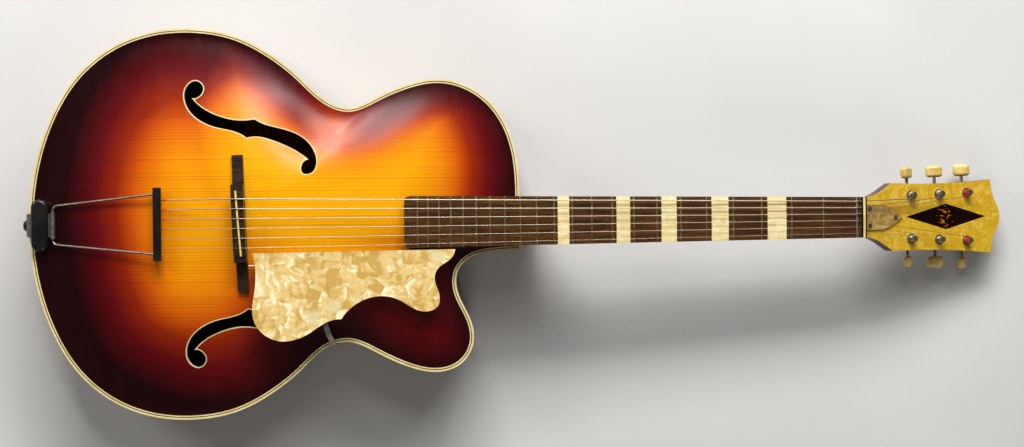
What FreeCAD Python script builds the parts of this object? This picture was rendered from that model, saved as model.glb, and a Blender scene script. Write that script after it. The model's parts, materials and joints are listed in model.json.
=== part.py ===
import FreeCAD, Part
import math
import os
from types import SimpleNamespace

import Sketcher
from FreeCAD import Placement, Rotation, Vector

# An archtop guitar with one cutaway, lying on its back.
# +X runs from the tail to the headstock, +Y to the bass strings, +Z out of the top.
# Lengths are millimetres and angles are degrees.

SIZES = {
    # body box
    "body_length": 508.0,
    "lower_bout": 406.0,
    "rim_depth": 76.0,
    "top_arch": 19.0,
    "back_arch": 17.0,
    "arch_oval_long": 60.0,
    "arch_oval_wide": 36.0,
    "plate_wall": 4.5,
    "side_wall": 2.6,
    "lining_wide": 6.4,
    "lining_deep": 12.0,
    "neck_block_long": 52.0,
    "neck_block_wide": 70.0,
    "tail_block_long": 24.0,
    "tail_block_wide": 90.0,
    "tone_bar_wide": 8.0,
    "tone_bar_deep": 12.0,
    "tone_bar_long": 290.0,
    "tone_bar_spread": 74.0,
    # edge trim
    "binding_wide": 2.0,
    "binding_deep": 6.5,
    "purfling_wide": 0.9,
    "inner_binding_wide": 1.3,
    # f-holes
    "f_hole_long": 136.0,
    "f_hole_rise": 98.5,
    "f_hole_from_tail": 162.0,
    "f_hole_from_centre": 49.7,
    "f_hole_edging": 1.0,
    # neck and fingerboard
    "scale_length": 648.0,
    "neck_pitch": 4.0,
    "board_lift": 8.0,
    "board_wall": 6.0,
    "board_radius": 305.0,
    "board_nut_width": 43.2,
    "board_end_width": 53.5,
    "board_overhang": 13.5,
    "board_corner": 6.0,
    "zero_fret_to_nut": 4.6,
    "fret_wide": 2.4,
    "fret_high": 1.1,
    "zero_fret_extra": 0.4,
    "inlay_wall": 1.5,
    "neck_depth_nut": 14.0,
    "neck_depth_heel": 16.5,
    "heel_long": 76.0,
    "heel_reach": 118.0,
    "heel_cap_wall": 2.0,
    "heel_rise": 3.0,
    "tongue_wall": 4.0,
    "tongue_inset": 1.0,
    "tenon_long": 22.0,
    "tenon_wide": 26.0,
    "tenon_deep": 62.0,
    "nut_core": 2.4,
    "nut_ply": 1.5,
    "nut_high": 8.6,
    # headstock
    "head_length": 170.0,
    "head_width": 80.4,
    "head_wall": 14.0,
    "head_face_wall": 1.5,
    "head_tilt": 13.0,
    "lozenge_start": 51.0,
    "lozenge_long": 101.0,
    "lozenge_wide": 28.0,
    "lozenge_wall": 0.9,
    # truss rod
    "rod_radius": 2.4,
    "rod_depth": 7.0,
    "rod_start": 24.0,
    "rod_reach": 16.0,
    "rod_nut_long": 8.0,
    "rod_nut_radius": 4.0,
    "rod_nut_setback": 3.0,
    "rod_pocket_long": 20.0,
    "rod_pocket_wide": 12.0,
    "rod_pocket_deep": 14.0,
    "cover_long": 45.0,
    "cover_wide": 27.0,
    "cover_wall": 1.8,
    "cover_gap": 1.0,
    "cover_screw_inset": 4.5,
    # bridge
    "bridge_slant": 2.2,
    "base_long": 141.0,
    "base_wide": 11.4,
    "base_high": 5.5,
    "base_end_high": 4.0,
    "base_flat": 84.0,
    "wheel_spread": 65.4,
    "wheel_radius": 7.5,
    "wheel_wall": 3.0,
    "wheel_drop": 2.2,
    "wheel_gap": 0.05,
    "knurl_radius": 0.7,
    "knurl_count": 30,
    "stud_radius": 2.0,
    "stud_engage": 3.8,
    "stud_seat": 5.0,
    "stud_headroom": 1.5,
    "bridge_top_long": 80.0,
    "bridge_top_wide": 12.7,
    "bridge_top_high": 8.8,
    "bridge_top_round": 1.5,
    "saddle_slant": 4.4,
    "saddle_long": 67.0,
    "saddle_wide": 1.8,
    "saddle_high": 1.2,
    "saddle_seat": 1.5,
    # tailpiece
    "bar_from_tail": 136.2,
    "bar_wide": 8.4,
    "bar_long": 75.0,
    "bar_high": 7.0,
    "bar_round": 2.4,
    "bar_above_rim": 26.0,
    "wire_radius": 1.2,
    "wire_bar_spread": 62.0,
    "wire_hinge_spread": 39.5,
    "wire_bend": 5.0,
    "hinge_from_tail": 25.3,
    "hinge_plate_wall": 1.6,
    "hinge_plate_wide": 24.0,
    "hinge_plate_above_rim": 2.2,
    "hinge_plate_drop": 54.0,
    "hinge_barrel_radius": 2.7,
    "hinge_barrel_long": 28.0,
    "cap_from_tail": 3.6,
    "cap_wide": 17.2,
    "cap_long": 54.0,
    "cap_above_rim": 10.5,
    "cap_round": 3.5,
    "pin_reach": 15.0,
    "pin_shank_radius": 4.0,
    "pin_shank_long": 18.0,
    "pin_collar_radius": 8.0,
    "pin_collar_wall": 3.0,
    "pin_waist_radius": 4.6,
    "pin_waist_long": 3.0,
    "pin_head_radius": 6.0,
    "pin_head_long": 5.5,
    # pickguard
    "guard_long": 208.0,
    "guard_wide": 92.3,
    "guard_wall": 2.6,
    "guard_lift": 2.4,
    "guard_from_tail": 232.3,
    "guard_from_centre": 28.7,
    "guard_block_long": 22.0,
    "guard_block_wide": 12.0,
    "guard_block_wall": 5.0,
    "bracket_start_x": 306.0,
    "bracket_start_y": 104.0,
    "bracket_foot_x": 313.5,
    "bracket_wide": 5.2,
    "bracket_wall": 1.4,
    "bracket_pad_long": 12.0,
    "bracket_leg": 28.0,
    "bracket_rise": 4.0,
    "bracket_gap": 0.3,
    "guard_pin_radius": 0.9,
    "guard_pin_long": 20.0,
    "guard_pin_y": 43.5,
    "guard_pin_reach": 2.8,
    # tuners
    "post_first": 57.0,
    "post_pitch": 35.0,
    "post_row": 46.6,
    "row_flare": 2.2,
    "post_radius": 3.0,
    "post_high": 9.0,
    "post_hole_radius": 0.8,
    "coil_start": 6.4,
    "coil_gap": 0.53,
    "coil_off_post": 0.05,
    "bushing_radius": 4.2,
    "bushing_deep": 6.0,
    "bushing_flange_radius": 5.2,
    "bushing_flange_wall": 1.2,
    "post_bore_radius": 3.6,
    "tuner_plate_wall": 1.2,
    "tuner_plate_wide": 15.0,
    "tuner_plate_end": 16.0,
    "lug_wall": 1.5,
    "lug_wide": 6.6,
    "lug_end": 3.0,
    "gear_radius": 6.6,
    "gear_groove_circle": 6.4,
    "gear_groove_radius": 0.9,
    "gear_teeth": 14,
    "gear_wall": 3.2,
    "gear_stub_radius": 2.0,
    "gear_screw_radius": 2.6,
    "gear_screw_wall": 1.3,
    "worm_offset": 9.0,
    "worm_core_radius": 2.15,
    "worm_thread_circle": 2.6,
    "worm_thread_radius": 0.65,
    "worm_half_long": 5.2,
    "worm_turns": 3,
    "worm_below_plate": 3.6,
    "shaft_radius": 1.9,
    "button_centre": 24.7,
    "button_wide": 18.0,
    "button_long": 13.0,
    "button_thick": 8.6,
    "button_round": 3.6,
    "button_seat": 6.0,
    # strings
    "string_spread_tail": 49.0,
    "string_spread_bridge": 50.0,
    "string_spread_nut": 34.0,
    "string_1_gauge": 0.36,
    "string_2_gauge": 0.46,
    "string_3_gauge": 0.70,
    "string_4_gauge": 0.96,
    "string_5_gauge": 1.24,
    "string_6_gauge": 1.50,
    "string_bend": 6.0,
    "string_seat": 4.0,
    "string_clearance": 0.1,
    "string_meet_gap": 0.12,
    # screws, clearances and cuts
    "screw_radius": 2.2,
    "screw_head_wall": 1.2,
    "screw_shank_radius": 1.1,
    "screw_long": 8.0,
    "screw_edge": 3.0,
    "run_clearance": 0.06,
    "seat_clearance": 0.05,
    "overrun": 40.0,
}

# Half outlines of the body, as shares of its length from the tail and of half the lower bout.
UPPER_BOUT_SHARES = [
    (0.997, 0.286), (0.983, 0.443), (0.953, 0.581), (0.9035, 0.687), (0.831, 0.734),
    (0.768, 0.704), (0.711, 0.645), (0.652, 0.589), (0.604, 0.630),
]
LOWER_BOUT_SHARES = [
    (0.553, 0.746), (0.494, 0.8645), (0.421, 0.960), (0.333, 1.0), (0.246, 0.982),
    (0.162, 0.897), (0.0925, 0.744), (0.045, 0.547), (0.016, 0.335),
]
CUTAWAY_SHARES = [
    (0.598, 0.646), (0.644, 0.613), (0.7055, 0.672), (0.768, 0.744), (0.830, 0.773),
    (0.876, 0.734), (0.9026, 0.6256), (0.8957, 0.4975), (0.872, 0.3695), (0.872, 0.256),
    (0.8976, 0.187), (0.941, 0.158),
]
BASE_DIP_SHARE = 0.045
BASE_SCOOP_SHARE = 0.75
BASS_CORNER_SHARE = 0.108
CUTAWAY_CORNER_SHARE = 0.151
ARCH_APEX_SHARE = 0.43
# Steps from the rim to the middle of an arched plate, and how fast the arch rises.
ARCH_STEP_SHARES = (0.0, 0.06, 0.14, 0.26, 0.40, 0.56, 0.74, 0.88, 0.97)
ARCH_RISE_SHARE = 0.85
# One f-hole as four runs between its nicks and notches, as shares of its length and rise.
F_HOLE_SHARES = [
    [
        (0.058, 0.817), (0.099, 0.822), (0.143, 0.925), (0.088, 1.0), (0.018, 0.944), (0.0, 0.817),
        (0.038, 0.685), (0.132, 0.570), (0.253, 0.5025), (0.374, 0.465), (0.473, 0.392),
    ],
    [(0.473, 0.392), (0.555, 0.405), (0.685, 0.358), (0.814, 0.279), (0.939, 0.160)],
    [
        (0.939, 0.160), (0.887, 0.0975), (0.895, 0.019), (0.960, 0.018), (1.0, 0.120),
        (0.983, 0.240), (0.910, 0.375), (0.789, 0.466), (0.651, 0.516), (0.530, 0.590),
    ],
    [(0.530, 0.590), (0.4435, 0.5756), (0.253, 0.628), (0.142, 0.7076), (0.058, 0.817)],
]
# The pickguard's two curved runs, as shares of its length and width from the bridge end.
GUARD_NECK_RUN_SHARES = [
    (1.0, 0.0), (0.988, 0.080), (0.952, 0.150), (0.912, 0.221), (0.898, 0.299), (0.904, 0.398),
    (0.919, 0.496), (0.9105, 0.638), (0.8475, 0.693), (0.722, 0.562), (0.628, 0.5135),
    (0.541, 0.558), (0.434, 0.764),
]
GUARD_BRIDGE_RUN_SHARES = [
    (0.434, 0.764), (0.3435, 0.818), (0.265, 0.931), (0.1857, 0.9935), (0.147, 1.0),
    (0.069, 0.9426), (0.0145, 0.808), (0.0, 0.648), (0.010, 0.472), (0.0173, 0.207), (0.001, 0.02),
]
# Half the headstock outline, as shares of its length and of half its width.
HEAD_FLARE_SHARES = [(0.0, 0.53), (0.095, 0.62), (0.150, 0.755), (0.205, 0.905)]
HEAD_SIDE_SHARES = [(0.205, 0.905), (0.547, 0.896), (0.932, 1.0)]
HEAD_END_SHARES = [(0.932, 1.0), (0.942, 0.71), (0.965, 0.425), (0.988, 0.245)]
# The truss rod cover, as shares of its length and half its width.
COVER_SHARES = [(0.0, 1.0), (0.35, 1.0), (0.61, 0.83), (0.81, 0.48), (1.0, 0.0)]
INLAY_FRETS = (3, 5, 7, 9, 12)
INLAY_SPACE_SHARE = 0.63
FRET_COUNT = 22
STRING_COUNT = 6
UPRIGHT_SHARE = 0.99
MOST_TURNS = 4
JOINT_FRET = 14
# The tuner buttons' turns at rest, string 1 to string 6.
BUTTON_TURNS = (117.0, 36.0, 130.0, 148.0, 158.0, 35.0)
# Heel sections, as shares of the heel's length and of its extra depth.
HEEL_SHARES = [
    (0.0, 1.0), (0.18, 0.96), (0.36, 0.74), (0.50, 0.42), (0.66, 0.16), (0.82, 0.04), (1.0, 0.0),
]

document = FreeCAD.newDocument("archtop_guitar")
sheet = document.addObject("Spreadsheet::Sheet", "Sizes")
for row, (alias, number) in enumerate(SIZES.items(), start=1):
    sheet.set("A%d" % row, alias)
    sheet.set("B%d" % row, str(number))
    sheet.setAlias("B%d" % row, alias)
document.recompute()
d = SimpleNamespace(**{alias: float(sheet.get(alias)) for alias in SIZES})
nodes = []


# Helpers for shapes.

def moved(shape, placement):
    """A copy of a shape carried by a placement."""
    copy = shape.copy()
    copy.Placement = placement.multiply(copy.Placement)
    return copy


def prism(wire, low, high):
    """A solid between two heights over a closed flat wire drawn at height zero."""
    solid = Part.Face(wire).extrude(Vector(0, 0, high - low))
    return moved(solid, Placement(Vector(0, 0, low), Rotation()))


def box(low, high):
    """A box between two corners."""
    span = high - low
    return Part.makeBox(span.x, span.y, span.z, low)


def rod(start, end, radius):
    """A round rod between two points."""
    return Part.makeCylinder(radius, (end - start).Length, start, end - start)


def curve_through(points, first=None, last=None):
    """A spline through points, with end tangents where they are given."""
    curve = Part.BSplineCurve()
    if first is None:
        curve.interpolate(Points=points)
    else:
        curve.interpolate(
            Points=points, InitialTangent=first.normalize(), FinalTangent=last.normalize(), Scale=False
        )
    return curve


def rounded_path(points, bend):
    """Straight runs through the points, joined by tangent arcs."""
    edges = []
    start = points[0]
    for before, corner, after in zip(points, points[1:], points[2:]):
        back = (before - corner).normalize()
        ahead = (after - corner).normalize()
        half = back.getAngle(ahead) / 2
        reach = bend / math.tan(half)
        middle = (back + ahead).normalize()
        enter = corner + back * reach
        leave = corner + ahead * reach
        crown = corner + middle * (bend / math.sin(half) - bend)
        edges.append(Part.LineSegment(start, enter).toShape())
        edges.append(Part.Arc(enter, crown, leave).toShape())
        start = leave
    edges.append(Part.LineSegment(start, points[-1]).toShape())
    return Part.Wire(edges)


def tube(path, start, heading, radius):
    """A round tube along a path that starts at a point with a heading."""
    ring = Part.Wire([Part.Circle(start, heading, radius).toShape()])
    return path.makePipeShell([ring], True, False)


def biarc(start, start_way, end, end_way):
    """Two tangent arcs in space from one point and heading to another."""
    span = end - start
    way = start_way + end_way
    spare = 2 * (1 - start_way.dot(end_way))
    along = span.dot(way)
    reach = (math.sqrt(along * along + spare * span.dot(span)) - along) / spare
    knots = [start + start_way * reach, end - end_way * reach]
    joint = (knots[0] + knots[1]) * 0.5
    edges = []
    for first, knot, last in ((start, knots[0], joint), (joint, knots[1], end)):
        chord = (first + last) * 0.5
        half = (last - first).Length / 2
        turn = math.acos(half / reach)
        bow = half / math.sin(turn) * (1 - math.cos(turn))
        crown = chord + (knot - chord).normalize() * bow
        edges.append(Part.Arc(first, crown, last).toShape())
    return edges


def helix_edges(point, way, angles):
    """Biarcs along a helix given by its point and heading functions."""
    edges = []
    for first, last in zip(angles, angles[1:]):
        edges += biarc(point(first), way(first), point(last), way(last))
    return edges


def strip(points, wall):
    """A closed outline in the XZ plane: a bent sheet of even wall along its middle line."""
    left = []
    right = []
    for number, point in enumerate(points):
        before = points[max(number - 1, 0)]
        after = points[min(number + 1, len(points) - 1)]
        ways = [(point - before), (after - point)]
        ways = [way.normalize() for way in ways if way.Length > 0]
        way = sum(ways[1:], ways[0]).normalize()
        side = Vector(-way.z, 0, way.x) * (wall / 2 / abs(way.dot(ways[0])))
        left.append(point + side)
        right.append(point - side)
    corners = left + right[::-1]
    return Part.makePolygon(corners + corners[:1])


def add_node(label, solids, place):
    """Adds one named sub-part made of one or more solids."""
    node = document.addObject("Part::Feature", label)
    node.Label = label
    node.Shape = solids[0] if len(solids) == 1 else Part.Compound(solids)
    node.Placement = place.multiply(node.Placement)
    nodes.append(node)
    return node


# Helpers for sketched bodies. Corners are pairs of expressions over the sheet's aliases.

def measure(expression):
    """The number that an expression over the sheet gives."""
    return float(sheet.evalExpression(expression))


def new_body(label, place):
    """An empty body with its own placement."""
    body = document.addObject("PartDesign::Body", label)
    body.Label = label
    body.Placement = place
    nodes.append(body)
    return body


def origin_plane(body, role):
    """One of a body's own origin planes."""
    return next(part for part in body.Origin.OriginFeatures if part.Role == role)


def bind(sketch, constraint, expression):
    """Adds a constraint whose value follows the sheet."""
    index = sketch.addConstraint(constraint)
    sketch.setExpression("Constraints[%d]" % index, expression)


def polygon_sketch(body, role, corners):
    """A closed straight-sided sketch whose corners follow the sheet."""
    sketch = body.newObject("Sketcher::SketchObject", body.Name + "_profile")
    sketch.AttachmentSupport = [(origin_plane(body, role), "")]
    sketch.MapMode = "FlatFace"
    points = [Vector(measure(x), measure(y), 0) for x, y in corners]
    for number, point in enumerate(points):
        sketch.addGeometry(Part.LineSegment(point, points[(number + 1) % len(points)]))
    for number in range(len(points)):
        following = (number + 1) % len(points)
        sketch.addConstraint(Sketcher.Constraint("Coincident", number, 2, following, 1))
    for number, (point, corner) in enumerate(zip(points, corners)):
        for kind, expression, value, axis in (
            ("DistanceX", corner[0], point.x, -2),
            ("DistanceY", corner[1], point.y, -1),
        ):
            if expression == "0":
                sketch.addConstraint(Sketcher.Constraint("PointOnObject", number, 1, axis))
            else:
                bind(sketch, Sketcher.Constraint(kind, -1, 1, number, 1, value), expression)
    return sketch


def revolved_body(label, place, corners):
    """A turned piece: a profile in radius and height, turned about its own Z axis."""
    body = new_body(label, place)
    sketch = polygon_sketch(body, "XZ_Plane", corners)
    turned = body.newObject("PartDesign::Revolution", label + "_turned")
    turned.Profile = sketch
    turned.ReferenceAxis = (sketch, ["V_Axis"])
    turned.Angle = 360
    return body


def padded_body(label, place, corners, height):
    """A flat piece: a profile in X and Y, raised along Z by an expression."""
    body = new_body(label, place)
    sketch = polygon_sketch(body, "XY_Plane", corners)
    pad = body.newObject("PartDesign::Pad", label + "_pad")
    pad.Profile = sketch
    pad.setExpression("Length", height)
    return body, pad


# Frames. Body lengths run from the tail edge, body heights from the plane of the top's rim.

pitch = math.radians(d.neck_pitch)
tilt = math.radians(d.head_tilt)
zero_fret = d.scale_length * (1 - 2 ** (-JOINT_FRET / 12))
board_front = zero_fret + d.zero_fret_to_nut
nut_back = board_front + 2 * d.nut_ply + d.nut_core
head_tip = d.body_length + nut_back * math.cos(pitch) + d.head_length * math.cos(pitch + tilt)
middle_x = (head_tip - d.pin_reach) / 2
on_body = Placement(Vector(-middle_x, 0, d.rim_depth + d.back_arch), Rotation())
neck_step = Placement(Vector(d.body_length, 0, d.board_lift), Rotation(Vector(0, 1, 0), d.neck_pitch))
head_step = neck_step.multiply(Placement(Vector(nut_back, 0, 0), Rotation(Vector(0, 1, 0), d.head_tilt)))
on_neck = on_body.multiply(neck_step)
on_head = on_body.multiply(head_step)


def fret_place(number):
    """A fret's distance along the neck from the body joint."""
    return zero_fret - d.scale_length * (1 - 2 ** (-number / 12))


board_end = fret_place(FRET_COUNT) - d.board_overhang


def board_half(along):
    """Half the fingerboard's width at a distance along the neck."""
    share = (board_front - along) / (board_front - board_end)
    return (d.board_nut_width + (d.board_end_width - d.board_nut_width) * share) / 2


# Body outline and arching.

half_bout = d.lower_bout / 2
half_outline = UPPER_BOUT_SHARES + LOWER_BOUT_SHARES
treble_outline = LOWER_BOUT_SHARES[::-1] + CUTAWAY_SHARES
outline_shares = [(1.0, BASS_CORNER_SHARE)] + half_outline + [(0.0, 0.0)]
outline_shares += [(x, -y) for x, y in treble_outline] + [(1.0, -CUTAWAY_CORNER_SHARE)]
outline = [Vector(x * d.body_length, y * half_bout, 0) for x, y in outline_shares]
apex = Vector(ARCH_APEX_SHARE * d.body_length, 0, 0)


def closed_curve(points, last_way):
    """A spline that leaves the bass corner across the neck joint, closed by the flat of the joint."""
    curve = curve_through(points, Vector(0, 1, 0), last_way)
    return Part.Wire([curve.toShape(), Part.LineSegment(points[-1], points[0]).toShape()])


rim_wire = closed_curve(outline, Vector(1, 0, 0))
rim_curve = rim_wire.Edges[0].Curve


def inset_points(inset):
    """The outline's points drawn in square to the rim."""
    points = []
    for point in outline:
        way = rim_curve.tangent(rim_curve.parameter(point))[0]
        points.append(point + Vector(-way.y, way.x, 0) * inset)
    points[0].x = d.body_length - inset
    points[-1].x = d.body_length - inset
    return points


def inset_wire(inset):
    """The body outline drawn in by a distance."""
    return closed_curve(inset_points(inset), Vector(1, 0, 0))


def arch_wires(inset, height):
    """Contours of an arched plate, from its edge up to the flat oval in its middle."""
    wires = []
    for step in ARCH_STEP_SHARES:
        points = []
        for point in inset_points(inset):
            angle = math.atan2(point.y / half_bout, (point.x - apex.x) / (d.body_length / 2))
            oval = Vector(d.arch_oval_long * math.cos(angle), d.arch_oval_wide * math.sin(angle), 0)
            points.append(point + (apex + oval - point) * step)
        rise = height * arch_share(step)
        wire = closed_curve(points, Vector(1 - step, step, 0))
        wires.append(moved(wire, Placement(Vector(0, 0, rise), Rotation())))
    return wires


def arch_share(step):
    """The share of the arch's height at a step from the edge to the middle."""
    return math.sin(math.pi / 2 * step ** ARCH_RISE_SHARE) ** 2


def arched_plate(inset, height):
    """An arched plate of even wall, closed from its two skins and its edge."""
    wires = arch_wires(inset, height)
    skin = Part.makeLoft(wires, False, False).Faces + [Part.Face(wires[-1])]
    under = [lowered(face, d.plate_wall) for face in skin]
    edge = lowered(wires[0].extrude(Vector(0, 0, d.plate_wall)), d.plate_wall).Faces
    shell = Part.makeShell(skin + under + edge)
    shell.sewShape()
    plate = Part.makeSolid(shell)
    if plate.Volume < 0:
        plate.reverse()
    return plate


def rim_ring(outer, inner, low, high):
    """A ring along the rim between two insets and two heights."""
    face = Part.makeFace([inset_wire(outer), inset_wire(inner)], "Part::FaceMakerBullseye")
    ring = face.extrude(Vector(0, 0, high - low))
    return moved(ring, Placement(Vector(0, 0, low), Rotation()))


def lowered(shape, drop):
    """A copy of a shape moved down."""
    return moved(shape, Placement(Vector(0, 0, -drop), Rotation()))


def flipped(shape):
    """The mirror of a top piece on the back of the body."""
    return lowered(shape.mirror(Vector(0, 0, 0), Vector(0, 0, 1)), d.rim_depth)


trim_wide = d.binding_wide + d.purfling_wide + d.inner_binding_wide
back_floor = -d.rim_depth
top_dome = Part.makeLoft(arch_wires(trim_wide, d.top_arch), True, False)
under_top = lowered(top_dome, d.plate_wall)
back_dome = Part.makeLoft(arch_wires(d.binding_wide, d.back_arch), True, False)
over_back = flipped(lowered(back_dome, d.plate_wall))
cavity = prism(inset_wire(d.side_wall), back_floor + d.plate_wall, -d.plate_wall)

tenon = box(
    Vector(d.body_length - d.tenon_long, -d.tenon_wide / 2, -d.tenon_deep),
    Vector(d.body_length, d.tenon_wide / 2, d.board_lift),
)


def f_hole_curves(side):
    """The four runs of one f-hole, on the bass side (1) or the treble side (-1)."""
    runs = []
    for shares in F_HOLE_SHARES:
        points = []
        for along, across in shares:
            x = d.f_hole_from_tail + along * d.f_hole_long
            y = d.f_hole_from_centre + across * d.f_hole_rise
            points.append(Vector(x, side * y, 0))
        runs.append(curve_through(points))
    return runs


def f_hole_wire(side):
    """The closed outline of one f-hole."""
    return Part.Wire([run.toShape() for run in f_hole_curves(side)])


RUN_SAMPLES = 36
RIM_SAMPLES = 6000
EDGING_KEEP_SHARE = 0.985


def f_hole_outer_wire(side):
    """The f-hole outline set out by its edging, with crossed ends left out."""
    hole = f_hole_wire(side)
    runs = []
    for run in f_hole_curves(side):
        span = run.LastParameter - run.FirstParameter
        points = []
        for number in range(RUN_SAMPLES + 1):
            where = run.FirstParameter + span * number / RUN_SAMPLES
            way = run.tangent(where)[0]
            point = run.value(where) + Vector(way.y, -way.x, 0) * (side * d.f_hole_edging)
            if hole.distToShape(Part.Vertex(point))[0] > d.f_hole_edging * EDGING_KEEP_SHARE:
                points.append(point)
        runs.append(points)
    edges = []
    for points, following in zip(runs, runs[1:] + runs[:1]):
        edges.append(curve_through(points).toShape())
        edges.append(Part.LineSegment(points[-1], following[0]).toShape())
    return Part.Wire(edges)


def block_between(low, high):
    """A block glued between the plates and inside the sides."""
    slab = box(low, high)
    parts = [slab.common(cavity), slab.common(under_top), slab.common(over_back)]
    return parts[0].fuse(parts[1:]).removeSplitter()


def make_body():
    """The hollow body, its trim and what is glued inside it."""
    dark_start = d.binding_wide
    light_start = dark_start + d.purfling_wide
    top = arched_plate(trim_wide, d.top_arch).cut(tenon)
    edgings = []
    for side in (1, -1):
        outer = prism(f_hole_outer_wire(side), -d.overrun, d.overrun)
        hole = prism(f_hole_wire(side), -d.overrun, d.overrun)
        edgings += top.common(outer).cut(hole).Solids
        top = top.cut(outer)
    binding = rim_ring(0, d.binding_wide, -d.binding_deep, 0)
    dark_line = rim_ring(dark_start, light_start, -d.plate_wall, 0)
    light_line = rim_ring(light_start, trim_wide, -d.plate_wall, 0)
    back = flipped(arched_plate(d.binding_wide, d.back_arch))
    sides = rim_ring(0, d.side_wall, back_floor + d.binding_deep, -d.binding_deep)
    shank = pin_bore()
    add_node("top_plate", top.Solids, on_body)
    add_node("back_plate", back.Solids, on_body)
    add_node("sides", sides.cut(tenon).cut(shank).Solids, on_body)
    trim = binding.cut(tenon).Solids + light_line.cut(tenon).Solids + flipped(binding).Solids
    add_node("body_bindings", trim, on_body)
    add_node("body_purfling", dark_line.cut(tenon).Solids, on_body)
    add_node("f_hole_bindings", edgings, on_body)

    floor = back_floor - d.overrun
    neck_low = Vector(d.body_length - d.neck_block_long, -d.neck_block_wide / 2, floor)
    neck_high = Vector(d.body_length, d.neck_block_wide / 2, d.overrun)
    tail_low = Vector(0, -d.tail_block_wide / 2, floor)
    tail_high = Vector(d.tail_block_long, d.tail_block_wide / 2, d.overrun)
    blocks = block_between(neck_low, neck_high).cut(tenon).Solids
    blocks += block_between(tail_low, tail_high).cut(shank).Solids
    add_node("body_blocks", blocks, on_body)

    lining = rim_ring(d.side_wall, d.side_wall + d.lining_wide, -d.plate_wall - d.lining_deep, -d.plate_wall)
    lining = lining.cut(box(neck_low, neck_high)).cut(box(tail_low, tail_high))
    add_node("linings", lining.Solids + flipped(lining).Solids, on_body)

    bars = []
    for side in (1, -1):
        middle = side * d.tone_bar_spread / 2
        start = Vector(apex.x - d.tone_bar_long / 2, middle - d.tone_bar_wide / 2, -d.overrun)
        slab = box(start, start + Vector(d.tone_bar_long, d.tone_bar_wide, 2 * d.overrun))
        bars += slab.common(under_top).cut(lowered(under_top, d.tone_bar_deep)).Solids
    add_node("tone_bars", bars, on_body)


pin_height = -d.rim_depth / 2


def pin_bore():
    """The bore that the end pin's shank fills."""
    inner = Vector(d.pin_shank_long, 0, pin_height)
    return rod(Vector(-d.overrun, 0, pin_height), inner, d.pin_shank_radius)


# Neck, fingerboard and headstock.

def heel_section(along, half, depth):
    """A half-oval neck section with a flat top, at a distance along the neck."""
    turn = Rotation(Vector(0, 1, 0), Vector(0, 0, -1), Vector(1, 0, 0), "XYZ")
    frame = Placement(Vector(along, 0, 0), turn)
    if half >= depth:
        oval = Part.Ellipse(Vector(0, 0, 0), half, depth)
        arc = Part.ArcOfEllipse(oval, 0, math.pi).toShape()
    else:
        oval = Part.Ellipse(Vector(0, depth, 0), Vector(half, 0, 0), Vector(0, 0, 0))
        arc = Part.ArcOfEllipse(oval, -math.pi / 2, math.pi / 2).toShape()
    ends = [vertex.Point for vertex in arc.Vertexes]
    return moved(Part.Wire([arc, Part.LineSegment(ends[1], ends[0]).toShape()]), frame)


def head_outline():
    """The closed outline of the headstock, in its own plane."""
    half = d.head_width / 2

    def points(shares, side):
        return [Vector(x * d.head_length, side * y * half, 0) for x, y in shares]

    tip = Vector(d.head_length, 0, 0)
    edges = []
    for side in (1, -1):
        edges.append(curve_through(points(HEAD_FLARE_SHARES, side)).toShape())
        edges.append(curve_through(points(HEAD_SIDE_SHARES, side)).toShape())
    end = points(HEAD_END_SHARES, 1) + [tip] + points(HEAD_END_SHARES, -1)[::-1]
    edges.append(curve_through(end).toShape())
    starts = [points(HEAD_FLARE_SHARES[:1], side)[0] for side in (1, -1)]
    edges.append(Part.LineSegment(starts[1], starts[0]).toShape())
    return Part.Wire(Part.__sortEdges__(edges))


def post_spots():
    """Each string's post: its number, its side and its place on the headstock."""
    spots = []
    flare = math.tan(math.radians(d.row_flare))
    for number in range(1, STRING_COUNT + 1):
        side = 1 if number > STRING_COUNT / 2 else -1
        row = number - 1 if side < 0 else STRING_COUNT - number
        along = row * d.post_pitch
        spot = Vector(d.post_first + along, side * (d.post_row / 2 + along * flare), 0)
        spots.append((number, side, spot))
    return spots


def post_holes():
    """Stepped bores for the posts and their bushings."""
    holes = []
    for number, side, spot in post_spots():
        low = spot + Vector(0, 0, -d.head_wall - d.head_face_wall - d.overrun)
        holes.append(rod(low, spot + Vector(0, 0, d.overrun), d.post_bore_radius))
        seat = spot - Vector(0, 0, d.bushing_deep)
        holes.append(rod(seat, spot + Vector(0, 0, d.overrun), d.bushing_radius))
    return holes


def cut_all(shape, tools):
    """A shape with several tools cut from it at once."""
    return shape.cut(Part.Compound(tools))


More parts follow.
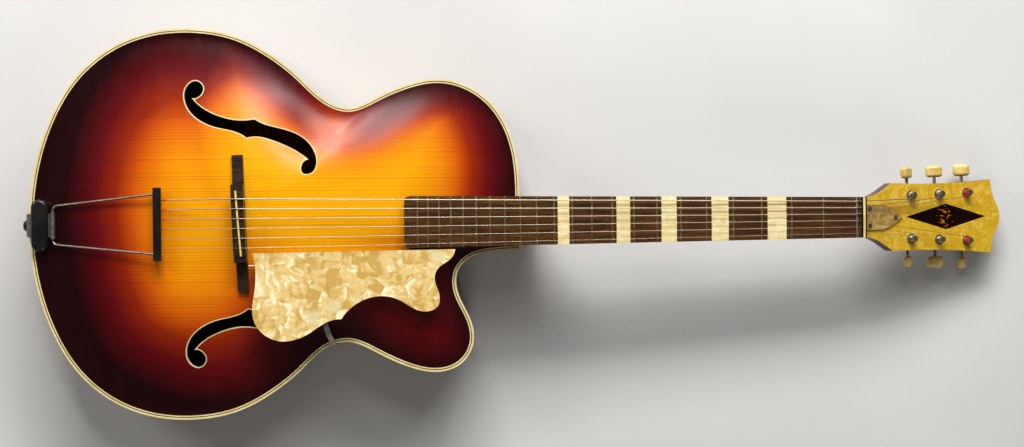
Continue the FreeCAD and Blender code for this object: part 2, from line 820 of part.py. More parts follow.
def make_neck():
    """The neck with heel, tenon, tongue and headstock core, and what is glued to it."""
    heel_half = board_half(0)
    shaft = Part.makeLoft(
        [
            heel_section(d.heel_long, board_half(d.heel_long), d.neck_depth_heel),
            heel_section(nut_back, board_half(nut_back), d.neck_depth_nut),
        ],
        True,
        True,
    )
    sections = []
    for along, extra in HEEL_SHARES:
        x = along * d.heel_long
        depth = d.neck_depth_heel + extra * (d.heel_reach - d.neck_depth_heel)
        sections.append(heel_section(x, board_half(x), depth))
    heel = moved(Part.makeLoft(sections, True, False), neck_step)
    cap_top = back_floor + d.heel_rise
    reach = Vector(d.heel_long, heel_half, d.board_lift) + Vector(1, 1, 1) * d.overrun
    below = box(
        Vector(d.body_length - reach.x, -reach.y, back_floor - d.heel_reach),
        Vector(d.body_length + reach.x, reach.y, cap_top),
    )
    inward = box(
        Vector(d.body_length - reach.x, -reach.y, back_floor - d.heel_reach),
        Vector(d.body_length, reach.y, reach.z),
    )
    heel = heel.cut(inward)
    slice_low = cap_top - d.heel_cap_wall
    cap_zone = box(
        Vector(d.body_length, -reach.y, slice_low), Vector(d.body_length + reach.x, reach.y, cap_top)
    )
    add_node("heel_cap", heel.common(cap_zone).Solids, on_body)

    tongue_start = board_end + d.board_corner
    tongue_half = board_half(0) - d.tongue_inset
    tongue = box(Vector(tongue_start, -tongue_half, -d.tongue_wall), Vector(d.tongue_wall, tongue_half, 0))
    head_back = -d.head_wall - d.head_face_wall
    core = prism(head_outline(), head_back, -d.head_face_wall)
    neck = moved(shaft, neck_step).fuse([heel.cut(below), moved(tongue, neck_step), tenon])
    neck = neck.fuse(moved(core, head_step))
    above = box(Vector(0, -d.overrun, 0), Vector(board_front + nut_back, d.overrun, d.overrun))
    bed = box(
        Vector(0, -d.head_width, -d.head_face_wall), Vector(d.head_length, d.head_width, d.overrun)
    )
    tools = [moved(hole, head_step) for hole in post_holes() + [rod_pocket(), bed]]
    tools += [moved(truss_bore(), neck_step), moved(above, neck_step)]
    tools += [moved(hole, head_step) for hole in cover_screw_holes() + plate_screw_holes()]
    neck = cut_all(neck, tools)
    add_node("neck", neck.Solids, on_body)

    face = prism(head_outline(), -d.head_face_wall, 0)
    lozenge = Part.makePolygon(lozenge_corners())
    inlay = prism(lozenge, -d.lozenge_wall, 0)
    face = cut_all(face, post_holes() + [inlay, rod_pocket()] + cover_screw_holes())
    add_node("headstock_face", face.Solids, on_head)
    add_node("headstock_lozenge", [inlay], on_head)


def lozenge_corners():
    """The lozenge's corners on the headstock face."""
    middle = d.lozenge_start + d.lozenge_long / 2
    corners = [
        Vector(d.lozenge_start, 0, 0),
        Vector(middle, -d.lozenge_wide / 2, 0),
        Vector(d.lozenge_start + d.lozenge_long, 0, 0),
        Vector(middle, d.lozenge_wide / 2, 0),
    ]
    return corners + corners[:1]


def upright_edges(solid):
    """The edges of a prism that run along Z."""
    return [edge for edge in solid.Edges if abs(edge.tangentAt(edge.FirstParameter).z) > UPRIGHT_SHARE]


def board_blank():
    """The fingerboard before slots and inlays, in the neck's frame."""
    corners = [
        Vector(board_end, -board_half(board_end), 0),
        Vector(board_front, -board_half(board_front), 0),
        Vector(board_front, board_half(board_front), 0),
        Vector(board_end, board_half(board_end), 0),
    ]
    blank = prism(Part.makePolygon(corners + corners[:1]), 0, d.board_wall)
    uprights = [edge for edge in upright_edges(blank) if edge.Vertexes[0].X < (board_end + board_front) / 2]
    blank = blank.makeFillet(d.board_corner, uprights)
    barrel = rod(
        Vector(board_end - d.overrun, 0, d.board_wall - d.board_radius),
        Vector(board_front + d.overrun, 0, d.board_wall - d.board_radius),
        d.board_radius,
    )
    return blank.common(barrel)


def make_fingerboard():
    """The fingerboard with its inlay blocks and frets, in the neck's frame."""
    board = board_blank()
    centre = Vector(0, 0, d.board_wall - d.board_radius)
    low_end = Vector(board_end - d.overrun, 0, centre.z)
    shell = rod(low_end, Vector(nut_back, 0, centre.z), d.board_radius - d.inlay_wall)
    blocks = []
    for number in INLAY_FRETS:
        low = fret_place(number)
        space = fret_place(number - 1) - low
        start = low + space * (1 - INLAY_SPACE_SHARE) / 2
        slab = box(
            Vector(start, -d.board_end_width, 0),
            Vector(start + space * INLAY_SPACE_SHARE, d.board_end_width, d.board_wall),
        )
        blocks += board.common(slab).cut(shell).Solids
    frets = []
    for number in range(FRET_COUNT + 1):
        x = fret_place(number)
        high = d.fret_high + (d.zero_fret_extra if number == 0 else 0)
        half = d.fret_wide / 2
        crown = Vector(x, 0, d.board_wall + high)
        left = Vector(x - half, 0, d.board_wall)
        right = Vector(x + half, 0, d.board_wall)
        outline_edges = [Part.Arc(left, crown, right).toShape(), Part.LineSegment(right, left).toShape()]
        angle = math.degrees(math.asin(board_half(x) / d.board_radius))
        profile = Part.Face(Part.Wire(outline_edges))
        profile = moved(profile, turn_about(centre, -angle))
        frets.append(profile.revolve(centre, Vector(1, 0, 0), 2 * angle))
    add_node("fingerboard", cut_all(board, blocks).Solids, on_neck)
    add_node("inlay_blocks", blocks, on_neck)
    add_node("frets", frets, on_neck)


def turn_about(centre, angle):
    """A turn about a line along the neck."""
    return Placement(Vector(0, 0, 0), Rotation(Vector(1, 0, 0), angle), centre)


def make_nut(string_tools):
    """The layered nut: a pale core between two dark plies, slotted for the strings."""
    layers = [d.nut_ply, d.nut_core, d.nut_ply]
    barrel = rod(
        Vector(board_end, 0, d.nut_high - d.board_radius),
        Vector(nut_back + d.overrun, 0, d.nut_high - d.board_radius),
        d.board_radius,
    )
    solids = []
    start = board_front
    for wall in layers:
        half = board_half(board_front)
        slab = box(Vector(start, -half, 0), Vector(start + wall, half, d.nut_high))
        solids.append(cut_all(moved(slab.common(barrel), neck_step), string_tools))
        start += wall
    add_node("nut", solids, on_body)


# Truss rod.

def truss_line():
    """The truss rod's two ends, in the neck's frame."""
    return Vector(d.rod_start, 0, -d.rod_depth), Vector(nut_back + d.rod_reach, 0, -d.rod_depth)


def truss_bore():
    """The bore that holds the truss rod."""
    start, end = truss_line()
    return rod(start, end, d.rod_radius)


def rod_pocket():
    """The pocket at the headstock end of the rod, in the headstock's frame."""
    start = d.cover_gap + d.nut_ply
    return box(
        Vector(start, -d.rod_pocket_wide / 2, -d.rod_pocket_deep),
        Vector(start + d.rod_pocket_long, d.rod_pocket_wide / 2, d.overrun),
    )


def cover_screw_spots():
    """The cover's three screws, on the headstock face."""
    back = d.cover_gap + d.cover_screw_inset
    side = d.cover_wide / 2 - d.cover_screw_inset
    front = d.cover_gap + d.cover_long - 2 * d.cover_screw_inset
    return [Vector(back, side, 0), Vector(back, -side, 0), Vector(front, 0, 0)]


def screw(spot, seat):
    """A round-headed screw whose head sits at a height over a spot."""
    top = spot + Vector(0, 0, seat)
    head = rod(top, top + Vector(0, 0, d.screw_head_wall), d.screw_radius)
    shank = rod(top - Vector(0, 0, d.screw_long), top, d.screw_shank_radius)
    return head.fuse(shank).removeSplitter()


def screw_hole(spot, seat):
    """The hole that a screw's shank fills."""
    top = spot + Vector(0, 0, seat)
    return rod(top - Vector(0, 0, d.screw_long), top, d.screw_shank_radius)


def cover_screw_holes():
    """Holes for the cover's screws."""
    return [screw_hole(spot, d.cover_wall) for spot in cover_screw_spots()]


ROD_LENGTH = (
    "Sizes.scale_length * (1 - pow(2; %d / 12)) + Sizes.zero_fret_to_nut + 2 * Sizes.nut_ply"
    " + Sizes.nut_core + Sizes.rod_reach - Sizes.rod_start" % -JOINT_FRET
)


def make_truss_rod():
    """The rod, its adjusting nut, its cover and their screws."""
    start, end = truss_line()
    bar = document.addObject("Part::Cylinder", "truss_rod")
    bar.Label = "truss_rod"
    bar.setExpression("Radius", "Sizes.rod_radius")
    bar.setExpression("Height", ROD_LENGTH)
    bar.Placement = on_neck.multiply(Placement(start, Rotation(Vector(0, 0, 1), Vector(1, 0, 0))))
    nodes.append(bar)

    nut_start = end - Vector(d.rod_nut_setback + d.rod_nut_long, 0, 0)
    nut_place = Placement(nut_start, Rotation(Vector(0, 1, 0), 90))
    bore = "(Sizes.rod_radius + Sizes.run_clearance)"
    revolved_body(
        "truss_rod_nut",
        on_neck.multiply(nut_place),
        [
            (bore, "0"),
            ("Sizes.rod_nut_radius", "0"),
            ("Sizes.rod_nut_radius", "Sizes.rod_nut_long"),
            (bore, "Sizes.rod_nut_long"),
        ],
    )
    cover_half = d.cover_wide / 2
    points = [Vector(d.cover_gap + x * d.cover_long, y * cover_half, 0) for x, y in COVER_SHARES]
    mirrored = [Vector(point.x, -point.y, 0) for point in points]
    edges = []
    for side in (points, mirrored):
        edges.append(Part.LineSegment(side[0], side[1]).toShape())
        edges.append(curve_through(side[1:]).toShape())
    edges.append(Part.LineSegment(mirrored[0], points[0]).toShape())
    cover = prism(Part.Wire(Part.__sortEdges__(edges)), 0, d.cover_wall)
    add_node("truss_cover", cut_all(cover, cover_screw_holes()).Solids, on_head)
    return [moved(screw(spot, d.cover_wall), head_step) for spot in cover_screw_spots()]


# Bridge.

arch_top = d.top_arch * arch_share(ARCH_STEP_SHARES[-1])
bridge_x = d.body_length - (d.scale_length - zero_fret) * math.cos(pitch)
bridge_step = Placement(Vector(bridge_x, 0, arch_top), Rotation(Vector(0, 0, 1), d.bridge_slant))
wheel_low = d.base_high + d.wheel_drop
top_low = wheel_low + d.wheel_wall + d.wheel_gap
saddle_top = top_low + d.bridge_top_high + d.saddle_high
saddle_turn = Placement(Vector(0, 0, 0), Rotation(Vector(0, 0, 1), d.saddle_slant - d.bridge_slant))


def wheel_spots():
    """The two thumbwheels' names and places along the bridge."""
    return [("bass_thumbwheel", d.wheel_spread / 2), ("treble_thumbwheel", -d.wheel_spread / 2)]


def bridge_base_outline():
    """The bridge base's outline from the front: flat in the middle, scooped to thin ends."""
    half_long = d.base_long / 2
    half_flat = d.base_flat / 2
    fall = d.top_arch * BASE_DIP_SHARE
    scoop = d.base_high + (d.base_end_high - d.base_high) * BASE_SCOOP_SHARE - fall
    floor = -d.top_arch / 2
    edges = []
    for low, high, reach in ((floor, floor, half_long), (d.base_high, d.base_high, half_flat)):
        edges.append(Part.LineSegment(Vector(0, -reach, low), Vector(0, reach, high)).toShape())
    for side in (1, -1):
        shoulder = Vector(0, side * half_flat, d.base_high)
        dip = Vector(0, side * (half_long + half_flat) / 2, scoop)
        end = Vector(0, side * half_long, d.base_end_high - 2 * fall)
        edges.append(Part.Arc(shoulder, dip, end).toShape())
        edges.append(Part.LineSegment(end, Vector(0, side * half_long, floor)).toShape())
    return Part.Wire(Part.__sortEdges__(edges))


def crown_rod(top):
    """A long barrel along X whose top gives a piece the fingerboard's curve."""
    centre = top - d.board_radius
    return rod(Vector(-d.overrun, 0, centre), Vector(d.overrun, 0, centre), d.board_radius)


def make_bridge(string_tools):
    """The bridge base, studs, thumbwheels, top and saddle, in the bridge's frame."""
    on_bridge = on_body.multiply(bridge_step)
    base = Part.Face(bridge_base_outline()).extrude(Vector(d.base_wide, 0, 0))
    base = moved(base, Placement(Vector(-d.base_wide / 2, 0, 0), Rotation()))
    studs = []
    bores = []
    for name, y in wheel_spots():
        low = Vector(0, y, d.base_high - d.stud_seat)
        high = Vector(0, y, top_low + d.stud_engage)
        studs.append(rod(low, high, d.stud_radius))
        bores.append(rod(low, high + Vector(0, 0, d.stud_headroom), d.stud_radius + d.run_clearance))
    base = moved(cut_all(base, studs), bridge_step).cut(top_dome)
    add_node("bridge_base", base.Solids, on_body)
    add_node("bridge_studs", studs, on_bridge)

    crown = top_low + d.bridge_top_high
    half = Vector(d.bridge_top_wide / 2, d.bridge_top_long / 2, 0)
    block = box(Vector(-half.x, -half.y, top_low), Vector(half.x, half.y, crown))
    block = block.makeFillet(d.bridge_top_round, upright_edges(block)).common(crown_rod(crown))
    half = Vector(d.saddle_wide / 2, d.saddle_long / 2, 0)
    slot_floor = crown - d.saddle_seat - saddle_sag()
    slab = box(Vector(-half.x, -half.y, slot_floor), Vector(half.x, half.y, saddle_top))
    slab = moved(slab, saddle_turn)
    add_node("bridge_top", cut_all(block, bores + [slab]).Solids, on_bridge)
    saddle = moved(slab.common(crown_rod(saddle_top)), bridge_step)
    add_node("saddle", cut_all(saddle, string_tools).Solids, on_body)

    for name, y in wheel_spots():
        bore = "(Sizes.stud_radius + Sizes.run_clearance)"
        place = on_bridge.multiply(Placement(Vector(0, y, wheel_low), Rotation()))
        profile = [
            (bore, "0"),
            ("Sizes.wheel_radius", "0"),
            ("Sizes.wheel_radius", "Sizes.wheel_wall"),
            (bore, "Sizes.wheel_wall"),
        ]
        knurl_wheel(revolved_body(name, place, profile))


def saddle_sag():
    """How far the saddle's crown falls from its middle to its ends."""
    half = d.saddle_long / 2
    return d.board_radius - math.sqrt(d.board_radius ** 2 - half ** 2)


def knurl_wheel(body):
    """Cuts a row of round grooves across a thumbwheel's rim."""
    document.recompute()
    sketch = body.newObject("Sketcher::SketchObject", body.Name + "_groove")
    sketch.AttachmentSupport = [(origin_plane(body, "XY_Plane"), "")]
    sketch.MapMode = "FlatFace"
    sketch.addGeometry(Part.Circle(Vector(d.wheel_radius, 0, 0), Vector(0, 0, 1), d.knurl_radius))
    sketch.addConstraint(Sketcher.Constraint("PointOnObject", 0, 3, -1))
    bind(sketch, Sketcher.Constraint("DistanceX", -1, 1, 0, 3, d.wheel_radius), "Sizes.wheel_radius")
    bind(sketch, Sketcher.Constraint("Radius", 0, d.knurl_radius), "Sizes.knurl_radius")
    groove = body.newObject("PartDesign::Pocket", body.Name + "_pocket")
    groove.Profile = sketch
    groove.Type = "ThroughAll"
    groove.Reversed = True
    document.recompute()
    ring = body.newObject("PartDesign::PolarPattern", body.Name + "_knurl")
    ring.Originals = [groove]
    ring.Axis = (sketch, ["N_Axis"])
    ring.Angle = 360
    ring.setExpression("Occurrences", "Sizes.knurl_count")
    body.Tip = ring


# Tailpiece.

hinge_height = d.hinge_plate_above_rim + d.hinge_barrel_radius


def wire_points():
    """The corners of the tailpiece wire, from the bar round the hinge and back."""
    far = d.wire_bar_spread / 2
    near = d.wire_hinge_spread / 2
    return [
        Vector(d.bar_from_tail, far, d.bar_above_rim),
        Vector(d.hinge_from_tail, near, hinge_height),
        Vector(d.hinge_from_tail, -near, hinge_height),
        Vector(d.bar_from_tail, -far, d.bar_above_rim),
    ]


def make_tailpiece(string_tools):
    """The hinge plate, cap, wire frame, bar and end pin."""
    points = wire_points()
    path = rounded_path(points, d.wire_bend)
    wire = tube(path, points[0], points[1] - points[0], d.wire_radius)
    add_node("tailpiece_wire", [wire], on_body)

    half = Vector(d.bar_wide / 2, d.bar_long / 2, d.bar_high / 2)
    middle = Vector(d.bar_from_tail, 0, d.bar_above_rim)
    bar = box(middle - half, middle + half)
    long_edges = [edge for edge in bar.Edges if abs(edge.Vertexes[0].Y - edge.Vertexes[1].Y) > d.bar_wide]
    bar = bar.makeFillet(d.bar_round, long_edges)
    add_node("tailpiece_bar", cut_all(bar.cut(wire), string_tools).Solids, on_body)

    wall = d.hinge_plate_wall
    outside = -d.seat_clearance - wall / 2
    run = d.hinge_plate_above_rim + wall / 2
    middle_line = [
        Vector(outside, 0, -d.hinge_plate_drop),
        Vector(outside, 0, run),
        Vector(d.hinge_from_tail, 0, run),
    ]
    bent = Part.Face(strip(middle_line, wall)).extrude(Vector(0, d.hinge_plate_wide, 0))
    bent = moved(bent, Placement(Vector(0, -d.hinge_plate_wide / 2, 0), Rotation()))
    barrel_half = Vector(0, d.hinge_barrel_long / 2, 0)
    axis = Vector(d.hinge_from_tail, 0, hinge_height)
    barrel = rod(axis - barrel_half, axis + barrel_half, d.hinge_barrel_radius)
    bore = rod(axis - barrel_half, axis + barrel_half, d.wire_radius + d.run_clearance)
    hinge = bent.fuse(barrel).cut(bore).cut(pin_bore())
    add_node("tailpiece_hinge", hinge.Solids, on_body)

    radius = d.cap_wide / 2
    reach = d.cap_long / 2 - radius
    centre = d.cap_from_tail + radius
    low = prism(stadium(centre, reach, radius), -d.plate_wall, d.cap_above_rim)
    rim = [edge for edge in low.Edges if all(v.Z > d.cap_above_rim - d.seat_clearance for v in edge.Vertexes)]
    cap = low.makeFillet(d.cap_round, rim)
    slab = prism(rim_wire, -d.plate_wall, 0)
    cap = cap.cut(slab).cut(top_dome).cut(hinge)
    add_node("tailpiece_cap", cap.Solids, on_body)

    seat = Placement(Vector(-2 * d.seat_clearance - wall, 0, pin_height), Rotation(Vector(0, 1, 0), -90))
    collar_end = "Sizes.pin_collar_wall"
    waist_end = "(Sizes.pin_collar_wall + Sizes.pin_waist_long)"
    head_end = "(Sizes.pin_collar_wall + Sizes.pin_waist_long + Sizes.pin_head_long)"
    top_end = "(Sizes.pin_reach - Sizes.hinge_plate_wall - 2 * Sizes.seat_clearance)"
    revolved_body(
        "end_pin",
        on_body.multiply(seat),
        [
            ("0", "-Sizes.pin_shank_long"),
            ("Sizes.pin_shank_radius", "-Sizes.pin_shank_long"),
            ("Sizes.pin_shank_radius", "0"),
            ("Sizes.pin_collar_radius", "0"),
            ("Sizes.pin_collar_radius", collar_end),
            ("Sizes.pin_waist_radius", collar_end),
            ("Sizes.pin_waist_radius", waist_end),
            ("Sizes.pin_head_radius", waist_end),
            ("Sizes.pin_head_radius", head_end),
            ("Sizes.pin_waist_radius", top_end),
            ("0", top_end),
        ],
    )


def stadium(centre, reach, radius):
    """A flat outline with round ends, long across the body."""
    edges = []
    for side in (1, -1):
        left = Vector(centre - radius, side * reach, 0)
        right = Vector(centre + radius, side * reach, 0)
        edges.append(Part.Arc(left, Vector(centre, side * (reach + radius), 0), right).toShape())
        near = Vector(centre + side * radius, reach, 0)
        edges.append(Part.LineSegment(near, near - Vector(0, 2 * reach, 0)).toShape())
    return Part.Wire(Part.__sortEdges__(edges))


# Pickguard.

def guard_frame():
    """The pickguard's frame: level with the fingerboard, from its bridge corner."""
    along = (d.guard_from_tail - d.body_length) / math.cos(pitch)
    return neck_step.multiply(Placement(Vector(along, -d.guard_from_centre, d.guard_lift), Rotation()))


def make_guard():
    """The floating pickguard, its block, bracket and pin."""
    runs = []
    for shares in (GUARD_NECK_RUN_SHARES, GUARD_BRIDGE_RUN_SHARES):
        points = [Vector(x * d.guard_long, -y * d.guard_wide, 0) for x, y in shares]
        runs.append(points)
    edges = [curve_through(points).toShape() for points in runs]
    edges.append(Part.LineSegment(runs[1][-1], runs[0][0]).toShape())
    guard = prism(Part.Wire(edges), 0, d.guard_wall)
    add_node("pickguard", [guard], on_body.multiply(guard_frame()))
    add_node("pickguard_fixings", guard_block().Solids + [guard_bracket(), guard_pin()], on_body)


def guard_block():
    """The block on the neck's tongue that carries the pickguard's neck end."""
    start = board_end + d.board_corner
    side = board_half(0) - d.tongue_inset
    low = Vector(start, -side - d.guard_block_wide, d.guard_lift - d.guard_block_wall)
    block = box(low, Vector(start + d.guard_block_long, -side, d.guard_lift))
    return moved(block, neck_step).cut(moved(board_blank(), neck_step))


def guard_bracket():
    """A bent strip from under the pickguard to the outside of the treble waist."""
    start = Vector(d.bracket_start_x, -d.bracket_start_y, 0)
    rim_point, rim_way = rim_near(d.bracket_foot_x)
    outward = Vector(rim_way.y, -rim_way.x, 0)
    reach = (rim_point - start).dot(outward)
    pad_fall = d.bracket_pad_long * outward.x * math.tan(pitch)
    room = d.bracket_wall / 2 + d.bracket_wide / 2 * math.tan(pitch) + d.seat_clearance
    pad = guard_underside(rim_point - outward * reach) - room
    outside = reach + d.bracket_gap + d.bracket_wall / 2
    line = [
        Vector(0, 0, pad),
        Vector(d.bracket_pad_long, 0, pad - pad_fall),
        Vector(outside, 0, d.bracket_rise),
        Vector(outside, 0, -d.bracket_leg),
    ]
    bent = Part.Face(strip(line, d.bracket_wall)).extrude(Vector(0, d.bracket_wide, 0))
    turn = Rotation(Vector(0, 0, 1), math.degrees(math.atan2(outward.y, outward.x)))
    place = Placement(rim_point - outward * reach, turn)
    return moved(bent, place.multiply(Placement(Vector(0, -d.bracket_wide / 2, 0), Rotation())))


def guard_pin():
    """The thin pin that props the pickguard beside the bridge."""
    start = Vector(bridge_x + d.bridge_top_wide / 2 + d.guard_pin_reach, -d.guard_pin_y, 0)
    start.z = guard_underside(start) - d.guard_pin_radius - d.seat_clearance
    way = Vector(math.cos(pitch), 0, -math.sin(pitch))
    return rod(start, start + way * d.guard_pin_long, d.guard_pin_radius)


def guard_underside(spot):
    """The height of the pickguard's lower face over a spot of the top."""
    along = (spot.x - d.body_length) * math.tan(pitch)
    return d.board_lift + d.guard_lift / math.cos(pitch) - along


def rim_near(x):
    """The treble rim's point and heading nearest to a distance from the tail at the waist."""
    first = rim_curve.FirstParameter
    span = rim_curve.LastParameter - first
    places = [first + span * number / RIM_SAMPLES for number in range(RIM_SAMPLES // 2, RIM_SAMPLES)]
    where = min(places, key=lambda place: abs(rim_curve.value(place).x - x))
    return rim_curve.value(where), rim_curve.tangent(where)[0]


# Tuners. Each has its own frame on the headstock face: X along its row to the nut, Y outwards on the
# treble side. The worms lie on the tip side of their gears.

plate_top = -d.head_wall - d.head_face_wall
plate_low = plate_top - d.tuner_plate_wall
worm_height = plate_low - d.worm_below_plate


def tuner_frame(side, spot):
    """A tuner's frame on the headstock."""
    return Placement(spot, Rotation(Vector(0, 0, 1), 180 + side * d.row_flare))


def worm_shape(side):
    """A worm with its shaft, along Y through the worm's middle, its long end on one side."""
    step = 2 * math.pi * d.gear_groove_circle / d.gear_teeth
    circle = d.worm_thread_circle
    rise = step / (2 * math.pi)

    def point(angle):
        turn = angle + math.pi / 2
        return Vector(circle * math.sin(turn), rise * angle, circle * math.cos(turn))

    def way(angle):
        turn = angle + math.pi / 2
        return Vector(circle * math.cos(turn), rise, -circle * math.sin(turn)).normalize()

    halves = int(2 * d.worm_turns)
    angles = [(number - halves / 2) * math.pi for number in range(halves + 1)]
    path = Part.Wire(helix_edges(point, way, angles))
    thread = tube(path, point(angles[0]), way(angles[0]), d.worm_thread_radius)
    core = rod(Vector(0, -d.worm_half_long, 0), Vector(0, d.worm_half_long, 0), d.worm_core_radius)
    inner = -side * (d.worm_half_long + d.run_clearance + d.lug_wall + d.run_clearance)
    outer = side * (d.button_centre - d.button_long / 2 + d.button_seat)
    shaft = rod(Vector(0, min(inner, outer), 0), Vector(0, max(inner, outer), 0), d.shaft_radius)
    return core.fuse(thread).fuse(shaft)


def gear_shape():
    """A worm gear about Z through its middle, with a groove facing the worm."""
    half = d.gear_wall / 2
    blank = rod(Vector(0, 0, -half), Vector(0, 0, half), d.gear_radius)
    lead = d.gear_groove_circle / d.gear_teeth / d.worm_thread_circle
    way = Vector(0, -lead, 1) * d.gear_wall
    grooves = []
    for number in range(int(d.gear_teeth)):
        middle = Vector(-d.gear_groove_circle, 0, 0)
        groove = rod(middle - way, middle + way, d.gear_groove_radius)
        turn = Rotation(Vector(0, 0, 1), number * 360 / d.gear_teeth)
        grooves.append(moved(groove, Placement(Vector(0, 0, 0), turn)))
    bore = rod(Vector(0, 0, -half), Vector(0, 0, half), d.gear_stub_radius)
    return cut_all(blank, grooves + [bore])


def row_frames(side):
    """The three tuner frames of one side, from the tip to the nut."""
    spots = [spot for number, where, spot in post_spots() if where == side]
    return [tuner_frame(side, spot) for spot in sorted(spots, key=lambda spot: -spot.x)]


def plate_screw_places():
    """Where the screws of both tuner plates sit, heads on the plates' lower faces."""
    flip = Rotation(Vector(1, 0, 0), 180)
    places = []
    for side in (1, -1):
        first, second, third = row_frames(side)
        half = d.post_pitch / 2
        for frame, along in ((first, half), (second, half), (third, d.tuner_plate_end - d.screw_edge)):
            spot = frame.multVec(Vector(along, 0, plate_low))
            places.append(Placement(spot, flip))
    return places


def plate_screw_holes():
    """Holes for the tuner plates' screws."""
    return [moved(screw_hole(Vector(0, 0, 0), 0), place) for place in plate_screw_places()]


def make_tuner_plates():
    """Two strip plates with lugs that carry the worm shafts. Gives back their screws."""
    plates = []
    for side in (1, -1):
        frames = row_frames(side)
        length = (frames[2].Base - frames[0].Base).Length
        start = -d.worm_offset - d.lug_wide / 2 - d.lug_end
        half = d.tuner_plate_wide / 2
        plate = box(Vector(start, -half, plate_low), Vector(length + d.tuner_plate_end, half, plate_top))
        plate = moved(plate, frames[0])
        holes = plate_screw_holes()
        for frame in frames:
            near = d.worm_half_long + d.run_clearance
            far = near + d.lug_wall
            for low, high in ((near, far), (-far, -near)):
                lug = box(
                    Vector(-d.worm_offset - d.lug_wide / 2, low, worm_height - d.lug_end),
                    Vector(-d.worm_offset + d.lug_wide / 2, high, plate_low),
                )
                plate = plate.fuse(moved(lug, frame))
            axle = Vector(-d.worm_offset, -d.tuner_plate_wide, worm_height)
            bearing = rod(axle, axle + Vector(0, 2 * d.tuner_plate_wide, 0), d.shaft_radius + d.run_clearance)
            post = rod(Vector(0, 0, plate_low), Vector(0, 0, plate_top), d.post_radius + d.run_clearance)
            holes += [moved(bearing, frame), moved(post, frame)]
        plates += cut_all(plate, holes).Solids
    add_node("tuner_plates", plates, on_head)
    return [moved(screw(Vector(0, 0, 0), 0), place) for place in plate_screw_places()]


def string_radius(number):
    """Half the gauge of a string."""
    return getattr(d, "string_%d_gauge" % number) / 2


def coil_turns(number):
    """Whole turns of a string that fit on its post above the bushing."""
    room = d.coil_start - d.bushing_flange_wall - 2 * string_radius(number)
    return min(int(room / (2 * string_radius(number) + d.coil_gap)), MOST_TURNS)


def string_share(number):
    """A string's place across the set, from -0.5 at the first string to 0.5 at the last."""
    return (number - (STRING_COUNT + 1) / 2) / (STRING_COUNT - 1)


def string_line(number, side, spot):
    """Where a string leaves the zero fret and meets its post, in the headstock's frame."""
    radius = string_radius(number)
    zero = Vector(zero_fret, string_share(number) * d.string_spread_nut, 0)
    drop = zero.y ** 2 / (2 * d.board_radius)
    zero.z = d.board_wall - drop + d.fret_high + d.zero_fret_extra + radius + d.string_clearance
    leave = head_step.inverse().multVec(neck_step.multVec(zero))
    ring = d.post_radius + radius + d.coil_off_post
    gap = Vector(spot.x - leave.x, spot.y - leave.y, 0)
    heading = math.atan2(gap.y, gap.x) - side * math.asin(ring / gap.Length)
    run = math.sqrt(gap.Length ** 2 - ring ** 2)
    way = Vector(math.cos(heading), math.sin(heading), 0)
    meet = Vector(leave.x, leave.y, d.coil_start) + way * run
    return zero, meet, way, ring


def coil_shape(number, side, spot):
    """The string's turns round its post, from its tangent lead to a short straight tail."""
    zero, meet, way, ring = string_line(number, side, spot)
    gauge = 2 * string_radius(number)
    drop = (gauge + d.coil_gap) / (2 * math.pi)
    centre = Vector(spot.x, spot.y, d.coil_start)
    start = math.atan2(meet.y - centre.y, meet.x - centre.x)

    def point(angle):
        turn = start + side * angle
        return centre + Vector(ring * math.cos(turn), ring * math.sin(turn), -drop * angle)

    def heading(angle):
        turn = start + side * angle
        return Vector(-side * ring * math.sin(turn), side * ring * math.cos(turn), -drop).normalize()

    quarters = 4 * coil_turns(number) + 1
    angles = [(2 * quarter + 1) * math.pi / 4 for quarter in range(quarters)]
    edges = [Part.LineSegment(meet - way * gauge, meet).toShape()]
    edges += biarc(meet, way, point(angles[0]), heading(angles[0]))
    edges += helix_edges(point, heading, angles)
    tail = point(angles[-1])
    edges.append(Part.LineSegment(tail, tail + heading(angles[-1]) * gauge).toShape())
    path = Part.Wire(edges)
    coil = tube(path, meet - way * gauge, way, gauge / 2)
    length = sum(edge.Length for edge in path.Edges)
    share = coil.Volume / (math.pi * gauge * gauge / 4 * length)
    gap = coil_gap(path, gauge, math.pi * ring)
    turns = coil_turns(number)
    print("winding %d: turns %d, least gap %.2f, volume share %.4f" % (number, turns, gap, share))
    return coil


COIL_SAMPLES = 260


def coil_gap(path, gauge, apart):
    """The least gap between turns, measured on points of the path more than half a turn apart."""
    points = path.discretize(Number=COIL_SAMPLES)
    step = path.Length / (COIL_SAMPLES - 1)
    skip = int(apart / step)
    gaps = []
    for number, point in enumerate(points):
        gaps += [(point - other).Length for other in points[number + skip:]]
    return min(gaps) - gauge


